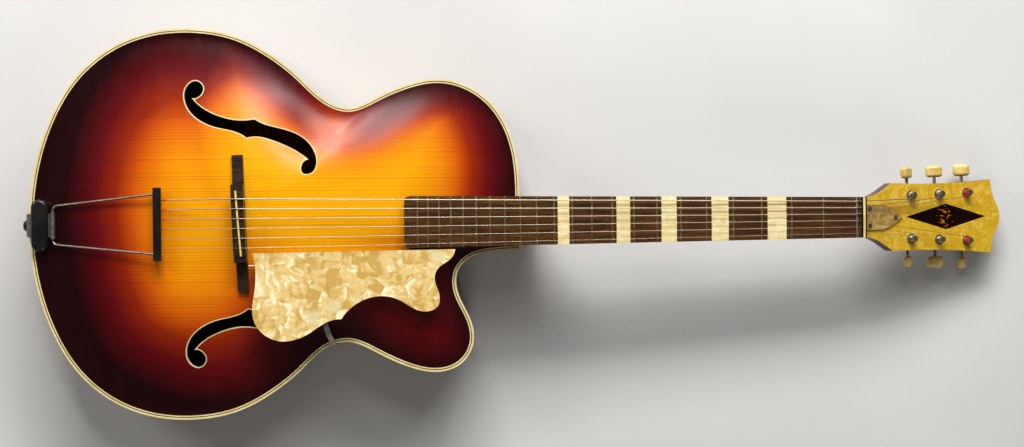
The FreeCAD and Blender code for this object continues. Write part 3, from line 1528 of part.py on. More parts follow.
def make_tuners():
    """Posts with gears and windings, worm shafts, buttons and bushings."""
    gear = gear_shape()
    worms = {side: worm_shape(side) for side in (1, -1)}
    bushings = []
    for number, side, spot in post_spots():
        frame = tuner_frame(side, spot)
        place = on_head.multiply(frame)
        ring = rod(Vector(0, 0, -d.bushing_deep), Vector(0, 0, 0), d.bushing_radius)
        flange = rod(Vector(0, 0, 0), Vector(0, 0, d.bushing_flange_wall), d.bushing_flange_radius)
        top = Vector(0, 0, d.bushing_flange_wall)
        bore = rod(Vector(0, 0, -d.bushing_deep), top, d.post_radius + d.run_clearance)
        bushings.append(moved(ring.fuse(flange).cut(bore), frame))

        gear_top = worm_height + d.gear_wall / 2
        gear_low = worm_height - d.gear_wall / 2
        post = rod(Vector(0, 0, gear_top), Vector(0, 0, d.post_high), d.post_radius)
        stub = rod(Vector(0, 0, gear_low), Vector(0, 0, gear_top), d.gear_stub_radius)
        eye_z = (d.post_high + d.coil_start) / 2 + string_radius(number) / 2
        eye = rod(Vector(-d.overrun, 0, eye_z), Vector(d.overrun, 0, eye_z), d.post_hole_radius)
        post = post.fuse(stub).cut(eye)
        cap = rod(Vector(0, 0, gear_low - d.gear_screw_wall), Vector(0, 0, gear_low), d.gear_screw_radius)
        coil = moved(coil_shape(number, side, spot), frame.inverse())
        placed_gear = moved(gear, Placement(Vector(0, 0, worm_height), Rotation()))
        add_node("string_post_%d" % number, [post, placed_gear, cap, coil], place)

        worm_step = Placement(Vector(-d.worm_offset, 0, worm_height), Rotation())
        add_node("worm_shaft_%d" % number, worms[-side].Solids, place.multiply(worm_step))
        make_button(number, -side, place.multiply(worm_step))
    add_node("post_bushings", bushings, on_head)


def make_button(number, side, worm_place):
    """One tuner button: a rounded block with a blind bore for its shaft."""
    outward = Placement(
        Vector(0, side * (d.button_centre - d.button_long / 2), 0), Rotation(Vector(1, 0, 0), -side * 90)
    )
    turn = Placement(Vector(0, 0, 0), Rotation(Vector(0, 0, 1), BUTTON_TURNS[number - 1]))
    half_wide = "Sizes.button_wide / 2"
    half_thick = "Sizes.button_thick / 2"
    corners = [
        ("-" + half_wide, "-" + half_thick),
        (half_wide, "-" + half_thick),
        (half_wide, half_thick),
        ("-" + half_wide, half_thick),
    ]
    label = "tuner_button_%d" % number
    body, pad = padded_body(label, worm_place.multiply(outward).multiply(turn), corners, "Sizes.button_long")
    document.recompute()
    rounding = body.newObject("PartDesign::Fillet", label + "_round")
    rounding.Base = (pad, ["Edge%d" % (number + 1) for number in range(len(pad.Shape.Edges))])
    rounding.setExpression("Radius", "Sizes.button_round")
    document.recompute()
    sketch = body.newObject("Sketcher::SketchObject", label + "_bore")
    sketch.AttachmentSupport = [(origin_plane(body, "XY_Plane"), "")]
    sketch.MapMode = "FlatFace"
    sketch.addGeometry(Part.Circle(Vector(0, 0, 0), Vector(0, 0, 1), d.shaft_radius))
    sketch.addConstraint(Sketcher.Constraint("Coincident", 0, 3, -1, 1))
    bind(sketch, Sketcher.Constraint("Radius", 0, d.shaft_radius), "Sizes.shaft_radius")
    bore = body.newObject("PartDesign::Pocket", label + "_pocket")
    bore.Profile = sketch
    bore.Reversed = True
    bore.setExpression("Length", "Sizes.button_seat")


# Strings.

def string_path(number, side, spot):
    """A string's corners in the body's frame: bar, saddle, zero fret, post."""
    radius = string_radius(number)
    across = string_share(number)
    zero, meet, way, ring = string_line(number, side, spot)
    seat_y = across * d.string_spread_bridge
    saddle_x = -seat_y * math.tan(math.radians(d.saddle_slant))
    drop = seat_y ** 2 / (2 * d.board_radius)
    lift = arch_top + saddle_top - drop + radius + d.string_clearance
    saddle = Vector(bridge_x + saddle_x, seat_y, lift)
    bar_front = d.bar_from_tail + d.bar_wide / 2
    start = Vector(bar_front, across * d.string_spread_tail, d.bar_above_rim)
    back = (start - saddle).normalize()
    post = head_step.multVec(meet - way * (2 * radius + d.string_meet_gap))
    return [start + back * d.string_seat, saddle, neck_step.multVec(zero), post]


def string_tube(number, side, spot, clearance):
    """A string as a tube, or the tool that clears it."""
    points = string_path(number, side, spot)
    path = rounded_path(points, d.string_bend)
    return tube(path, points[0], points[1] - points[0], string_radius(number) + clearance)


def make_strings():
    """Six strings from the tailpiece bar to the posts."""
    for number, side, spot in post_spots():
        add_node("string_%d" % number, [string_tube(number, side, spot, 0)], on_body)


def string_clearances():
    """Tools that clear the strings in the nut and the tailpiece bar."""
    return [string_tube(number, side, spot, d.seat_clearance) for number, side, spot in post_spots()]


def check_and_write():
    """Recomputes, checks every object and writes one file for each sub-part."""
    document.recompute()
    for item in document.Objects:
        if "Invalid" in item.State or "Error" in item.State:
            raise RuntimeError("%s did not compute: %s" % (item.Label, item.State))
    for node in nodes:
        shape = node.Shape
        if shape.isNull() or not shape.isValid() or not shape.Solids:
            raise RuntimeError("%s has no valid solid" % node.Label)
    os.makedirs("parts", exist_ok=True)
    for node in nodes:
        node.Shape.exportStep(os.path.join("parts", node.Label + ".step"))
        print("%-20s %3d solids %12.1f mm3" % (node.Label, len(node.Shape.Solids), node.Shape.Volume))
    print(len(nodes), "sub-parts")


make_body()
make_neck()
make_fingerboard()
small_screws = make_truss_rod()
tools = string_clearances()
make_bridge(tools)
make_nut(tools)
make_tailpiece(tools)
make_guard()
small_screws += [moved(piece, head_step) for piece in make_tuner_plates()]
add_node("small_screws", small_screws, on_body)
make_tuners()
make_strings()
check_and_write()
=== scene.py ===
# %% [markdown]
# # A sunburst archtop guitar
# The guitar lies on its back, seen from straight above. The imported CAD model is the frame: every
# solid is already in its place, in metres, with +X to the headstock, +Y to the bass strings and +Z
# out of the top. This lesson dresses that frame: it gives each solid a finish, evens out the two
# arches, and makes the strings and their silk.

# %% Load the frame
import json
import math

import bmesh
import bpy
import numpy
from mathutils import Matrix, Quaternion, Vector, kdtree
from mathutils.bvhtree import BVHTree
from mathutils.geometry import intersect_line_line


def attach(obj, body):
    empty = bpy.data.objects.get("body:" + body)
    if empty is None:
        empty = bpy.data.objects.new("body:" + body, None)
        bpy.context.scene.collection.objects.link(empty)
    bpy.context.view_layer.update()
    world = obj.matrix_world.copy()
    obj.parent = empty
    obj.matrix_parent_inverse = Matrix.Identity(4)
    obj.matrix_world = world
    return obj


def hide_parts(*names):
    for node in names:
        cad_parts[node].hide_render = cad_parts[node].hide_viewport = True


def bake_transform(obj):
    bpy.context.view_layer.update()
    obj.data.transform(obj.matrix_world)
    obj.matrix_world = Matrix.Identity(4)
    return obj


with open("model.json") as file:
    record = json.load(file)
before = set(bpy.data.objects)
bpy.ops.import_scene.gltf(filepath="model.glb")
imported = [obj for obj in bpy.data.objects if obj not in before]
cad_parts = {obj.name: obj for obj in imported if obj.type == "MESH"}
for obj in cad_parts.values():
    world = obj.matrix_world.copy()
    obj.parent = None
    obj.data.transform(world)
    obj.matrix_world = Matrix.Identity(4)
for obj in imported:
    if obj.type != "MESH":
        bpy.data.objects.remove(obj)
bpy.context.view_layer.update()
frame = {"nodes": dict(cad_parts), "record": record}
nodes = frame["nodes"]
groups_of_nodes = frame["record"]["behaviour"]["bodies"]
body_of_node = {node: name for name, group in groups_of_nodes.items() for node in group}

# %% [markdown]
# ## Camera
# The photograph was taken from above with a long lens, a hand's breadth nearer the tail than the
# middle. A constraint could aim the camera at the guitar. But a camera in Blender looks along its own
# -Z with +Y up, which is already the way the guitar lies, so a small tilt towards the headstock and a
# slight roll are enough, and they are easy to match to a picture.

# %% Camera above the strings
LENS_PIXELS = 1600.0
IMAGE_WIDTH = 1024.0
SENSOR_WIDE = 36.0
CAMERA_PLACE = Vector((-0.0723, -0.0028, 1.7656))
CAMERA_TILT = 0.036
CAMERA_ROLL = 0.0103


def linked(name, data):
    """A new object in the scene that shows some data."""
    made = bpy.data.objects.new(name, data)
    bpy.context.scene.collection.objects.link(made)
    return made


camera_data = bpy.data.cameras.new("photo_camera")
camera_data.sensor_width = SENSOR_WIDE
camera_data.lens = LENS_PIXELS / IMAGE_WIDTH * SENSOR_WIDE
camera = linked("photo_camera", camera_data)
tilt = Matrix.Rotation(-CAMERA_TILT, 4, "Y")
roll = Matrix.Rotation(-CAMERA_ROLL, 4, "Z")
camera.matrix_world = Matrix.Translation(CAMERA_PLACE) @ tilt @ roll
bpy.context.scene.camera = camera
print("camera lens", round(camera_data.lens, 2), "mm")

# %% [markdown]
# ## Helpers for node trees
# A material in Blender is a tree of nodes. It could be wired by hand in the editor, but then the recipe
# would be hidden in the file. Here each helper adds one kind of node, sets its inputs or joins them to
# a socket, and gives back the output, so that a finish reads like a list of steps.

# %% Sums, mixes and ramps
NUMBER_SUMS = ("DOT_PRODUCT", "DISTANCE", "LENGTH")


def add(tree, kind, inputs=None, **settings):
    """A node with its settings, and its inputs set to a value or joined to a socket."""
    made = tree.nodes.new(kind)
    for key, value in settings.items():
        setattr(made, key, value)
    for key, value in (inputs or {}).items():
        if isinstance(value, bpy.types.NodeSocket):
            tree.links.new(value, made.inputs[key])
        else:
            made.inputs[key].default_value = value
    return made


def maths(tree, operation, a, b=0.0):
    """One sum on two numbers or sockets."""
    return add(tree, "ShaderNodeMath", {0: a, 1: b}, operation=operation).outputs[0]


def vectors(tree, operation, a, b=(0.0, 0.0, 0.0)):
    """One sum on two vectors. It gives a vector, or a number where the sum has one."""
    made = add(tree, "ShaderNodeVectorMath", {0: a, 1: b}, operation=operation)
    return made.outputs["Value" if operation in NUMBER_SUMS else "Vector"]


def mix(tree, fac, a, b, blend="MIX"):
    """Two colours mixed by fac."""
    first, second = (value if isinstance(value, bpy.types.NodeSocket) else (*value, 1.0) for value in (a, b))
    made = add(tree, "ShaderNodeMix", {0: fac, 6: first, 7: second}, data_type="RGBA", blend_type=blend)
    return made.outputs[2]


def greys(*stops):
    """Ramp stops from pairs of a place and a brightness."""
    return [(place, (level,) * 3) for place, level in stops]


def grey(low, high):
    """Two ramp stops from one grey to another."""
    return greys((0.0, low), (1.0, high))


def ramp(tree, fac, stops, smooth=False):
    """A colour ramp over fac, from (place, colour) stops."""
    made = add(tree, "ShaderNodeValToRGB", {"Fac": fac})
    made.color_ramp.interpolation = "EASE" if smooth else "LINEAR"
    band = made.color_ramp.elements
    while len(band) < len(stops):
        band.new(0.5)
    for element, (place, colour) in zip(band, stops):
        element.position = place
        element.color = (*colour, 1.0)
    return made.outputs["Color"]


print("stops of a ramp from black to white:", grey(0.0, 1.0))

# %% Finishes, patterns and relief
def finish(name, roughness, metallic=0.0, coat=0.0, coat_roughness=0.05, specular=0.5):
    """A new material with its constant numbers set on the shader, and its node tree."""
    material = bpy.data.materials.new(name)
    material.use_nodes = True
    shader = material.node_tree.nodes["Principled BSDF"]
    shader.inputs["Roughness"].default_value = roughness
    shader.inputs["Metallic"].default_value = metallic
    shader.inputs["Coat Weight"].default_value = coat
    shader.inputs["Coat Roughness"].default_value = coat_roughness
    shader.inputs["Specular IOR Level"].default_value = specular
    print("finish", name)
    return material, material.node_tree, shader


def spot(tree, scale=(1.0, 1.0, 1.0), turn=(0.0, 0.0, 0.0)):
    """Object coordinates, scaled and turned."""
    where = add(tree, "ShaderNodeTexCoord").outputs["Object"]
    mapped = add(tree, "ShaderNodeMapping", {"Vector": where, "Rotation": turn, "Scale": scale})
    return mapped.outputs["Vector"]


def noise(tree, vector, scale, detail=2.0, roughness=0.5, distortion=0.0):
    """The grey output of a noise texture."""
    made = add(tree, "ShaderNodeTexNoise", {"Vector": vector, "Scale": scale, "Detail": detail})
    made.inputs["Roughness"].default_value = roughness
    made.inputs["Distortion"].default_value = distortion
    return made.outputs[0]


def bump(tree, shader, height, strength, distance):
    """Surface relief from a grey height."""
    made = add(tree, "ShaderNodeBump", {"Height": height, "Strength": strength, "Distance": distance})
    tree.links.new(made.outputs["Normal"], shader.inputs["Normal"])


print("materials before the first finish:", len(bpy.data.materials))

# %% [markdown]
# ## Floor and light
# A pale floor and a few large soft lamps. A picture of a studio could light the scene too, but lamps can
# be moved one at a time. A gloss lacquer mostly shows what it mirrors. So one lamp is a weak, long strip:
# its only work is to be mirrored as the bright patch on the arch near the waist.

# %% Pale floor
FLOOR_HALF = 14.0
FLOOR_TONES = [(0.3, (0.60, 0.59, 0.57)), (0.7, (0.66, 0.65, 0.63))]
FLOOR_CLOUDS = 3.0

floor_material, tree, shader = finish("pale_floor", 0.85, specular=0.2)
cloud = noise(tree, spot(tree), FLOOR_CLOUDS, 3.0)
tree.links.new(ramp(tree, cloud, FLOOR_TONES), shader.inputs["Base Color"])
floor_mesh = bpy.data.meshes.new("floor")
corners = [(x * FLOOR_HALF, y * FLOOR_HALF, 0.0) for x, y in ((-1, -1), (1, -1), (1, 1), (-1, 1))]
floor_mesh.from_pydata(corners, [], [(0, 1, 2, 3)])
floor_mesh.materials.append(floor_material)
floor = linked("floor", floor_mesh)
print("floor", 2.0 * FLOOR_HALF, "m wide")

# %% Soft lamps
# Each lamp has its place, the point it looks at, its width, height and watts, and its turn about its beam.
LAMPS = {
    "waist_strip": ((-0.35, 1.36, 2.03), (-0.20, 0.09, 0.11), 1.40, 0.18, 9.5, -0.95),
    "bass_side_panel": ((-0.10, 2.10, 1.50), (-0.10, 0.0, 0.10), 1.6, 0.7, 80.0, 0.0),
    "tail_panel": ((-1.9, 1.1, 1.2), (-0.2, 0.0, 0.10), 0.8, 0.8, 14.0, 0.0),
    "head_panel": ((0.8, 1.6, 1.5), (0.4, 0.0, 0.05), 0.8, 0.8, 16.0, 0.0),
    "treble_fill": ((0.3, -1.9, 1.3), (0.1, 0.0, 0.10), 1.2, 0.9, 9.0, 0.0),
}
SKY_COLOUR = (1.0, 0.98, 0.95, 1.0)
SKY_STRENGTH = 0.06

for name, (place, aim, wide, high, watts, turn) in LAMPS.items():
    lamp_data = bpy.data.lights.new(name, "AREA")
    lamp_data.shape = "RECTANGLE"
    lamp_data.size = wide
    lamp_data.size_y = high
    lamp_data.energy = watts
    lamp = linked(name, lamp_data)
    lamp.location = place
    aimed = (Vector(aim) - Vector(place)).to_track_quat("-Z", "Y")
    lamp.rotation_euler = (aimed @ Quaternion((0.0, 0.0, 1.0), turn)).to_euler()
sky = bpy.data.worlds.new("studio")
bpy.context.scene.world = sky
sky.use_nodes = True
sky.node_tree.nodes["Background"].inputs["Color"].default_value = SKY_COLOUR
sky.node_tree.nodes["Background"].inputs["Strength"].default_value = SKY_STRENGTH
bpy.context.scene.view_settings.view_transform = "Standard"
print("lamps:", len(LAMPS))

# %% [markdown]
# ## Sunburst top
# The top is spruce, sprayed dark from the edge and left amber in the middle, under a clear lacquer.
# Each finish reads Object coordinates. Every node's object sits at the origin with its place in its
# mesh, so those coordinates are metres on the guitar, and a grain spacing can be given in real size.
# The sunburst follows the outline of the body, which no simple gradient does, so the top and the back
# carry an attribute with the distance to the edge, and the colour ramp reads that.

# %% The sprayed colour
BURST_REACH = 0.188
BURST_CLOUDS = 9.0
BURST_DRIFT = 0.016
# The heavy band darkens the spray towards the tail, and towards the treble side as painted shade, away from
# the light on the bass side.
HEAVY_AND_SHADED_WAY = (-1.47, -0.35, 0.0)
HEAVY_AND_SHADED_BAND = (0.49, 0.69)
HEAVY_AND_SHADED_EDGE = 0.033
GLOW_MIDDLE = (-0.21, 0.05, 0.0)
GLOW_HALVES = (0.16, 0.132)
GLOW_FULL = 0.52
GLOW_FALL = 1.37
GLOW_EDGE = 0.08
WAIST_MIDDLE = (-0.195, 0.105, 0.0)
WAIST_REACH = 0.085
WAIST_LIFT = 0.40


def sprayed_and_shaded_share(tree, edge):
    """How far in from the sprayed edge a point is: less at the tail, less towards the treble side as painted
    shade, more at the bass waist.
    """
    where = spot(tree)
    cloud = noise(tree, where, BURST_CLOUDS, 2.0)
    drift = maths(tree, "MULTIPLY", maths(tree, "SUBTRACT", cloud, 0.5), BURST_DRIFT)
    # Darker spray towards the tail; towards the treble side the darkening is painted shade.
    lean = vectors(tree, "DOT_PRODUCT", where, HEAVY_AND_SHADED_WAY)
    band = {"Value": lean, "From Min": HEAVY_AND_SHADED_BAND[0], "From Max": HEAVY_AND_SHADED_BAND[1]}
    heavy_and_shaded = maths(tree, "MULTIPLY", add(tree, "ShaderNodeMapRange", band).outputs[0], HEAVY_AND_SHADED_EDGE)
    reach = maths(tree, "SUBTRACT", maths(tree, "ADD", edge, drift), heavy_and_shaded)
    off_waist = vectors(tree, "DISTANCE", spot(tree, (1.0, 1.0, 0.0)), WAIST_MIDDLE)
    thin = maths(tree, "SUBTRACT", 1.0, maths(tree, "DIVIDE", off_waist, WAIST_REACH))
    lift = maths(tree, "MULTIPLY", maths(tree, "MAXIMUM", thin, 0.0), WAIST_LIFT)
    return maths(tree, "ADD", maths(tree, "DIVIDE", reach, BURST_REACH), lift)


def glow_share(tree, edge):
    """An oval glow that fades outwards and ends before the edge."""
    oval = (1.0 / GLOW_HALVES[0], 1.0 / GLOW_HALVES[1], 0.0)
    from_middle = vectors(tree, "SUBTRACT", spot(tree), GLOW_MIDDLE)
    away = vectors(tree, "LENGTH", vectors(tree, "MULTIPLY", from_middle, oval))
    fall = maths(tree, "MULTIPLY", maths(tree, "SUBTRACT", away, GLOW_FULL), GLOW_FALL)
    return maths(tree, "MINIMUM", maths(tree, "SUBTRACT", 1.0, fall), maths(tree, "DIVIDE", edge, GLOW_EDGE))


def burst(tree, stops):
    """The sunburst colour of a plate."""
    edge = add(tree, "ShaderNodeAttribute", attribute_name="edge_distance").outputs["Fac"]
    share = maths(tree, "MAXIMUM", sprayed_and_shaded_share(tree, edge), glow_share(tree, edge))
    return ramp(tree, share, stops)


print("the burst reaches", BURST_REACH, "m in from the edge")

# %% Sunburst spruce
BURST_STOPS = [
    (0.000, (0.012, 0.0002, 0.0008)),
    (0.073, (0.042, 0.0006, 0.0020)),
    (0.133, (0.066, 0.0010, 0.0026)),
    (0.220, (0.115, 0.0018, 0.0034)),
    (0.367, (0.270, 0.0170, 0.0012)),
    (0.447, (0.470, 0.0600, 0.0009)),
    (0.520, (0.640, 0.1200, 0.0009)),
    (0.647, (0.780, 0.2300, 0.0009)),
    (0.813, (0.840, 0.3200, 0.0010)),
    (1.000, (0.880, 0.3900, 0.0010)),
]
LATE_WOOD = [(0.45, (1.0, 1.0, 1.0)), (0.98, (0.80, 0.66, 0.60))]
GRAIN_APART = 0.0030
GRAIN_WANDER = 0.007
FIBRE_RELIEF = 0.0003
# A scale counts features to the metre along X, Y and Z. A small X beside a large Y draws them out
# along the grain.
SWAY_SCALE = (1.5, 110.0, 1.0)
YEAR_SCALE = (1.0, 140.0, 1.0)
BAND_SCALE = (1.5, 70.0, 1.0)
FIBRE_SCALE = (8.0, 900.0, 4.0)
SCUFF_SCALE = (60.0, 18.0, 20.0)
SCUFF_TURN = (0.0, 0.0, 0.5)


def growth_lines(tree):
    """A wave across Y that peaks on each growth line. Noise makes the years wide and narrow by turns."""
    across = add(tree, "ShaderNodeSeparateXYZ", {"Vector": spot(tree)}).outputs["Y"]
    sway = maths(tree, "SUBTRACT", noise(tree, spot(tree, SWAY_SCALE), 1.0, 2.0), 0.5)
    bent = maths(tree, "ADD", across, maths(tree, "MULTIPLY", sway, GRAIN_WANDER))
    wave = maths(tree, "SINE", maths(tree, "MULTIPLY", bent, 2.0 * math.pi / GRAIN_APART))
    return maths(tree, "ADD", maths(tree, "MULTIPLY", wave, 0.5), 0.5)


spruce, tree, shader = finish("sunburst_spruce", 0.32, coat=0.7, coat_roughness=0.18, specular=0.12)
lines = growth_lines(tree)
years = ramp(tree, noise(tree, spot(tree, YEAR_SCALE), 1.0, 1.0), greys((0.3, 0.15), (0.7, 1.0)))
broad = ramp(tree, noise(tree, spot(tree, BAND_SCALE), 1.0, 2.0), grey(0.90, 1.08))
fibre = ramp(tree, noise(tree, spot(tree, FIBRE_SCALE), 1.0, 2.0, 0.6), grey(0.90, 1.08))
colour = mix(tree, years, burst(tree, BURST_STOPS), ramp(tree, lines, LATE_WOOD), "MULTIPLY")
colour = mix(tree, 0.7, colour, broad, "MULTIPLY")
colour = mix(tree, 0.5, colour, fibre, "MULTIPLY")
tree.links.new(colour, shader.inputs["Base Color"])
scuffs = noise(tree, spot(tree, SCUFF_SCALE, SCUFF_TURN), 1.0, 6.0, 0.7)
tree.links.new(ramp(tree, scuffs, greys((0.45, 0.26), (0.75, 0.44))), shader.inputs["Roughness"])
bump(tree, shader, lines, 0.04, FIBRE_RELIEF)
print("growth lines", GRAIN_APART * 1000.0, "mm apart")

# %% [markdown]
# ## Flamed maple
# The back, the sides and the neck are maple, whose fibres wave, so that light makes stripes across the
# grain. A photograph of a board could be laid on, but it would have to be unwrapped round the sides. A
# distorted wave on Object coordinates runs on over every edge. The back shares the top's sunburst, the
# sides darken towards both edges, and the neck is stained one colour.

# %% Flamed maple for the back, the sides and the neck
MAPLE_STOPS = [
    (0.00, (0.010, 0.003, 0.002)),
    (0.25, (0.050, 0.012, 0.005)),
    (0.60, (0.190, 0.060, 0.014)),
    (1.00, (0.340, 0.130, 0.028)),
]
NECK_STOPS = [(0.3, (0.050, 0.014, 0.008)), (0.75, (0.105, 0.032, 0.014))]
SIDE_MIDDLE = 0.050
SIDE_HALF = 0.045
FLAME = {"Scale": 34.0, "Distortion": 7.0, "Detail": 3.0, "Detail Scale": 2.0}
FLAME_FADE = (16.0, 5.0, 5.0)
MAPLE_FIBRES = (30.0, 700.0, 700.0)
NECK_WEAR = (5.0, 14.0, 14.0)


def maple(name, colour_of, flame_turn, coat=0.5):
    """Gloss maple with a figure of stripes across the grain."""
    material, tree, shader = finish(name, 0.34, coat=coat, coat_roughness=0.12, specular=0.2)
    colour = colour_of(tree)
    wander = noise(tree, spot(tree, FLAME_FADE), 1.0, 3.0)
    flame = add(tree, "ShaderNodeTexWave", {"Vector": spot(tree, turn=flame_turn), **FLAME})
    stripes = ramp(tree, flame.outputs["Fac"], grey(0.55, 1.35))
    fibres = noise(tree, spot(tree, MAPLE_FIBRES), 1.0, 2.0)
    colour = mix(tree, wander, colour, mix(tree, 1.0, colour, stripes, "MULTIPLY"))
    colour = mix(tree, 0.5, colour, ramp(tree, fibres, grey(0.75, 1.15)), "MULTIPLY")
    tree.links.new(colour, shader.inputs["Base Color"])
    bump(tree, shader, fibres, 0.04, FIBRE_RELIEF)
    return material


def side_colour(tree):
    """Sides that darken towards both edges."""
    height = add(tree, "ShaderNodeSeparateXYZ", {"Vector": spot(tree)}).outputs["Z"]
    off_middle = maths(tree, "ABSOLUTE", maths(tree, "SUBTRACT", height, SIDE_MIDDLE))
    share = maths(tree, "SUBTRACT", 1.0, maths(tree, "DIVIDE", off_middle, SIDE_HALF))
    return ramp(tree, share, MAPLE_STOPS)


def neck_colour(tree):
    """A neck stained one dark red brown, lighter where hands have worn it."""
    return ramp(tree, noise(tree, spot(tree, NECK_WEAR), 1.0, 3.0), NECK_STOPS)


back_maple = maple("back_maple", lambda tree: burst(tree, MAPLE_STOPS), (0.0, 0.0, 0.12))
side_maple = maple("side_maple", side_colour, (0.0, 0.0, 0.0))
neck_maple = maple("neck_maple", neck_colour, (0.0, 0.0, 0.2), coat=0.15)

# %% [markdown]
# ## Dark and bare woods
# The fingerboard is rosewood, the bridge is maple stained black, and the wood inside the body is bare
# spruce. Each could have a recipe of its own. But all three are straight-grained, so one serves them:
# stretched noise for the streaks, a slower one for broad bands, and a very fine one, cut off low, for
# the open pores.

# %% Plain woods
WOOD_STREAKS = (9.0, 420.0, 420.0)
STAINED_STREAKS = (40.0, 300.0, 200.0)
WOOD_BANDS = (4.0, 90.0, 90.0)
WOOD_PORES = (90.0, 1500.0, 1500.0)


def straight_wood(name, dark, light, roughness, streak=WOOD_STREAKS, coat=0.0):
    """A straight-grained wood with streaks and open pores along X."""
    material, tree, shader = finish(name, roughness, coat=coat, coat_roughness=0.2, specular=0.12)
    streaks = noise(tree, spot(tree, streak), 1.0, 4.0, 0.65)
    broad = noise(tree, spot(tree, WOOD_BANDS), 1.0, 2.0)
    pores = noise(tree, spot(tree, WOOD_PORES), 1.0, 1.0)
    colour = ramp(tree, streaks, [(0.30, dark), (0.68, light)])
    colour = mix(tree, 0.8, colour, ramp(tree, broad, grey(0.55, 1.35)), "MULTIPLY")
    colour = mix(tree, 0.7, colour, ramp(tree, pores, greys((0.34, 0.35), (0.42, 1.0))), "MULTIPLY")
    tree.links.new(colour, shader.inputs["Base Color"])
    tree.links.new(ramp(tree, streaks, grey(roughness - 0.10, roughness + 0.15)), shader.inputs["Roughness"])
    bump(tree, shader, pores, 0.15, FIBRE_RELIEF)
    return material


rosewood = straight_wood("rosewood", (0.028, 0.011, 0.003), (0.125, 0.046, 0.011), 0.50)
ebonised = straight_wood(
    "ebonised_maple", (0.012, 0.006, 0.004), (0.044, 0.024, 0.015), 0.36, STAINED_STREAKS, 0.3,
)
bare_spruce = straight_wood("bare_spruce", (0.36, 0.22, 0.10), (0.62, 0.44, 0.24), 0.7)

# %% [markdown]
# ## Pearl plastic
# Pearl plastic is folded flakes of bright film in a clear sheet. Noise alone would give clouds without
# folds. A Voronoi pattern on bent coordinates gives the flakes. Each flake leans its own way, so it
# shades from gold to white across itself: that is the flake's random colour, taken as a direction, times
# the way from the flake's middle. A second, smaller pattern breaks the flakes up, and faint golden lines
# lie along the folds.

# %% Pearl plastics
MIDDLE_GREY = (0.5, 0.5, 0.5)
FLAKE_LAYERS = ((1.0, 0.60), (0.45, 0.45))
FLAKE_SWAY = 0.45
FLAKE_SWING = 1.3
FLAKE_SHADE = 1.7
FLAKE_TONE = 0.5
FLAKE_SMOOTH = 0.16
SEAM_WIDE = 0.06


def pearl_fold(tree, bent, size):
    """The shade of the flakes: a lean and a tone for each, in a large and a small pattern."""
    fold = 0.5
    for share, weight in FLAKE_LAYERS:
        wide = size * share
        flakes = {"Vector": bent, "Scale": 1.0 / wide, "Smoothness": FLAKE_SMOOTH}
        cell = add(tree, "ShaderNodeTexVoronoi", flakes, feature="SMOOTH_F1").outputs
        lean = vectors(tree, "SUBTRACT", cell["Color"], MIDDLE_GREY)
        slope = vectors(tree, "DOT_PRODUCT", lean, vectors(tree, "SUBTRACT", bent, cell["Position"]))
        shade = maths(tree, "MULTIPLY", slope, FLAKE_SHADE * weight / wide)
        blue = add(tree, "ShaderNodeSeparateColor", {"Color": cell["Color"]}).outputs[2]
        tone = maths(tree, "MULTIPLY", maths(tree, "SUBTRACT", blue, 0.5), FLAKE_TONE * weight)
        fold = maths(tree, "ADD", maths(tree, "ADD", shade, tone), fold)
    return fold


def pearl(name, size, deep, mid, bright, crease=0.2, roughness=0.24):
    """A sheet of pearl plastic whose flakes are about size metres across."""
    material, tree, shader = finish(name, roughness, coat=0.3, coat_roughness=0.1, specular=0.25)
    where = spot(tree)
    sway = add(tree, "ShaderNodeTexNoise", {"Vector": where, "Scale": FLAKE_SWAY / size, "Detail": 1.0})
    swing = vectors(tree, "SUBTRACT", sway.outputs["Color"], MIDDLE_GREY)
    bent = vectors(tree, "ADD", where, vectors(tree, "MULTIPLY", swing, (size * FLAKE_SWING,) * 3))
    fold = pearl_fold(tree, bent, size)
    colour = ramp(tree, fold, [(0.15, deep), (0.48, mid), (0.82, bright)], smooth=True)
    cells = {"Vector": bent, "Scale": 1.0 / size}
    seams = add(tree, "ShaderNodeTexVoronoi", cells, feature="DISTANCE_TO_EDGE").outputs["Distance"]
    line = ramp(tree, seams, [(0.0, deep), (SEAM_WIDE, (1.0, 1.0, 1.0))])
    tree.links.new(mix(tree, crease, colour, line, "MULTIPLY"), shader.inputs["Base Color"])
    tree.links.new(ramp(tree, fold, grey(roughness + 0.12, roughness - 0.08)), shader.inputs["Roughness"])
    return material


guard_pearl = pearl("guard_pearl", 0.016, (0.60, 0.37, 0.090), (0.78, 0.56, 0.21), (0.95, 0.84, 0.53))
head_pearl = pearl("head_pearl", 0.008, (0.59, 0.345, 0.012), (0.66, 0.40, 0.022), (0.76, 0.50, 0.070), 0.05)
inlay_pearl = pearl("inlay_pearl", 0.012, (0.80, 0.63, 0.28), (0.86, 0.70, 0.34), (0.93, 0.80, 0.46), 0.05)
cover_pearl = pearl("cover_pearl", 0.012, (0.32, 0.185, 0.042), (0.42, 0.25, 0.065), (0.56, 0.38, 0.13), 0.08)

# %% [markdown]
# ## Marks on the pickguard
# Soft round marks show through the sheet where it is held from below. They could be small discs, but a
# disc has a hard edge. So they are mixed into the colour of the pearl, by the distance from each middle.

# %% Marks where the pickguard is held from below
GUARD_MARKS = [(-0.0905, -0.0356), (-0.2176, -0.0968), (-0.1965, -0.0865)]
MARK_REACH = 0.010
MARK_TONES = [(0.0, (0.80, 0.62, 0.24)), (0.45, (0.70, 0.66, 0.38)), (1.0, (0.72, 0.68, 0.40))]
MARK_FADE = greys((0.35, 0.75), (1.0, 0.0))

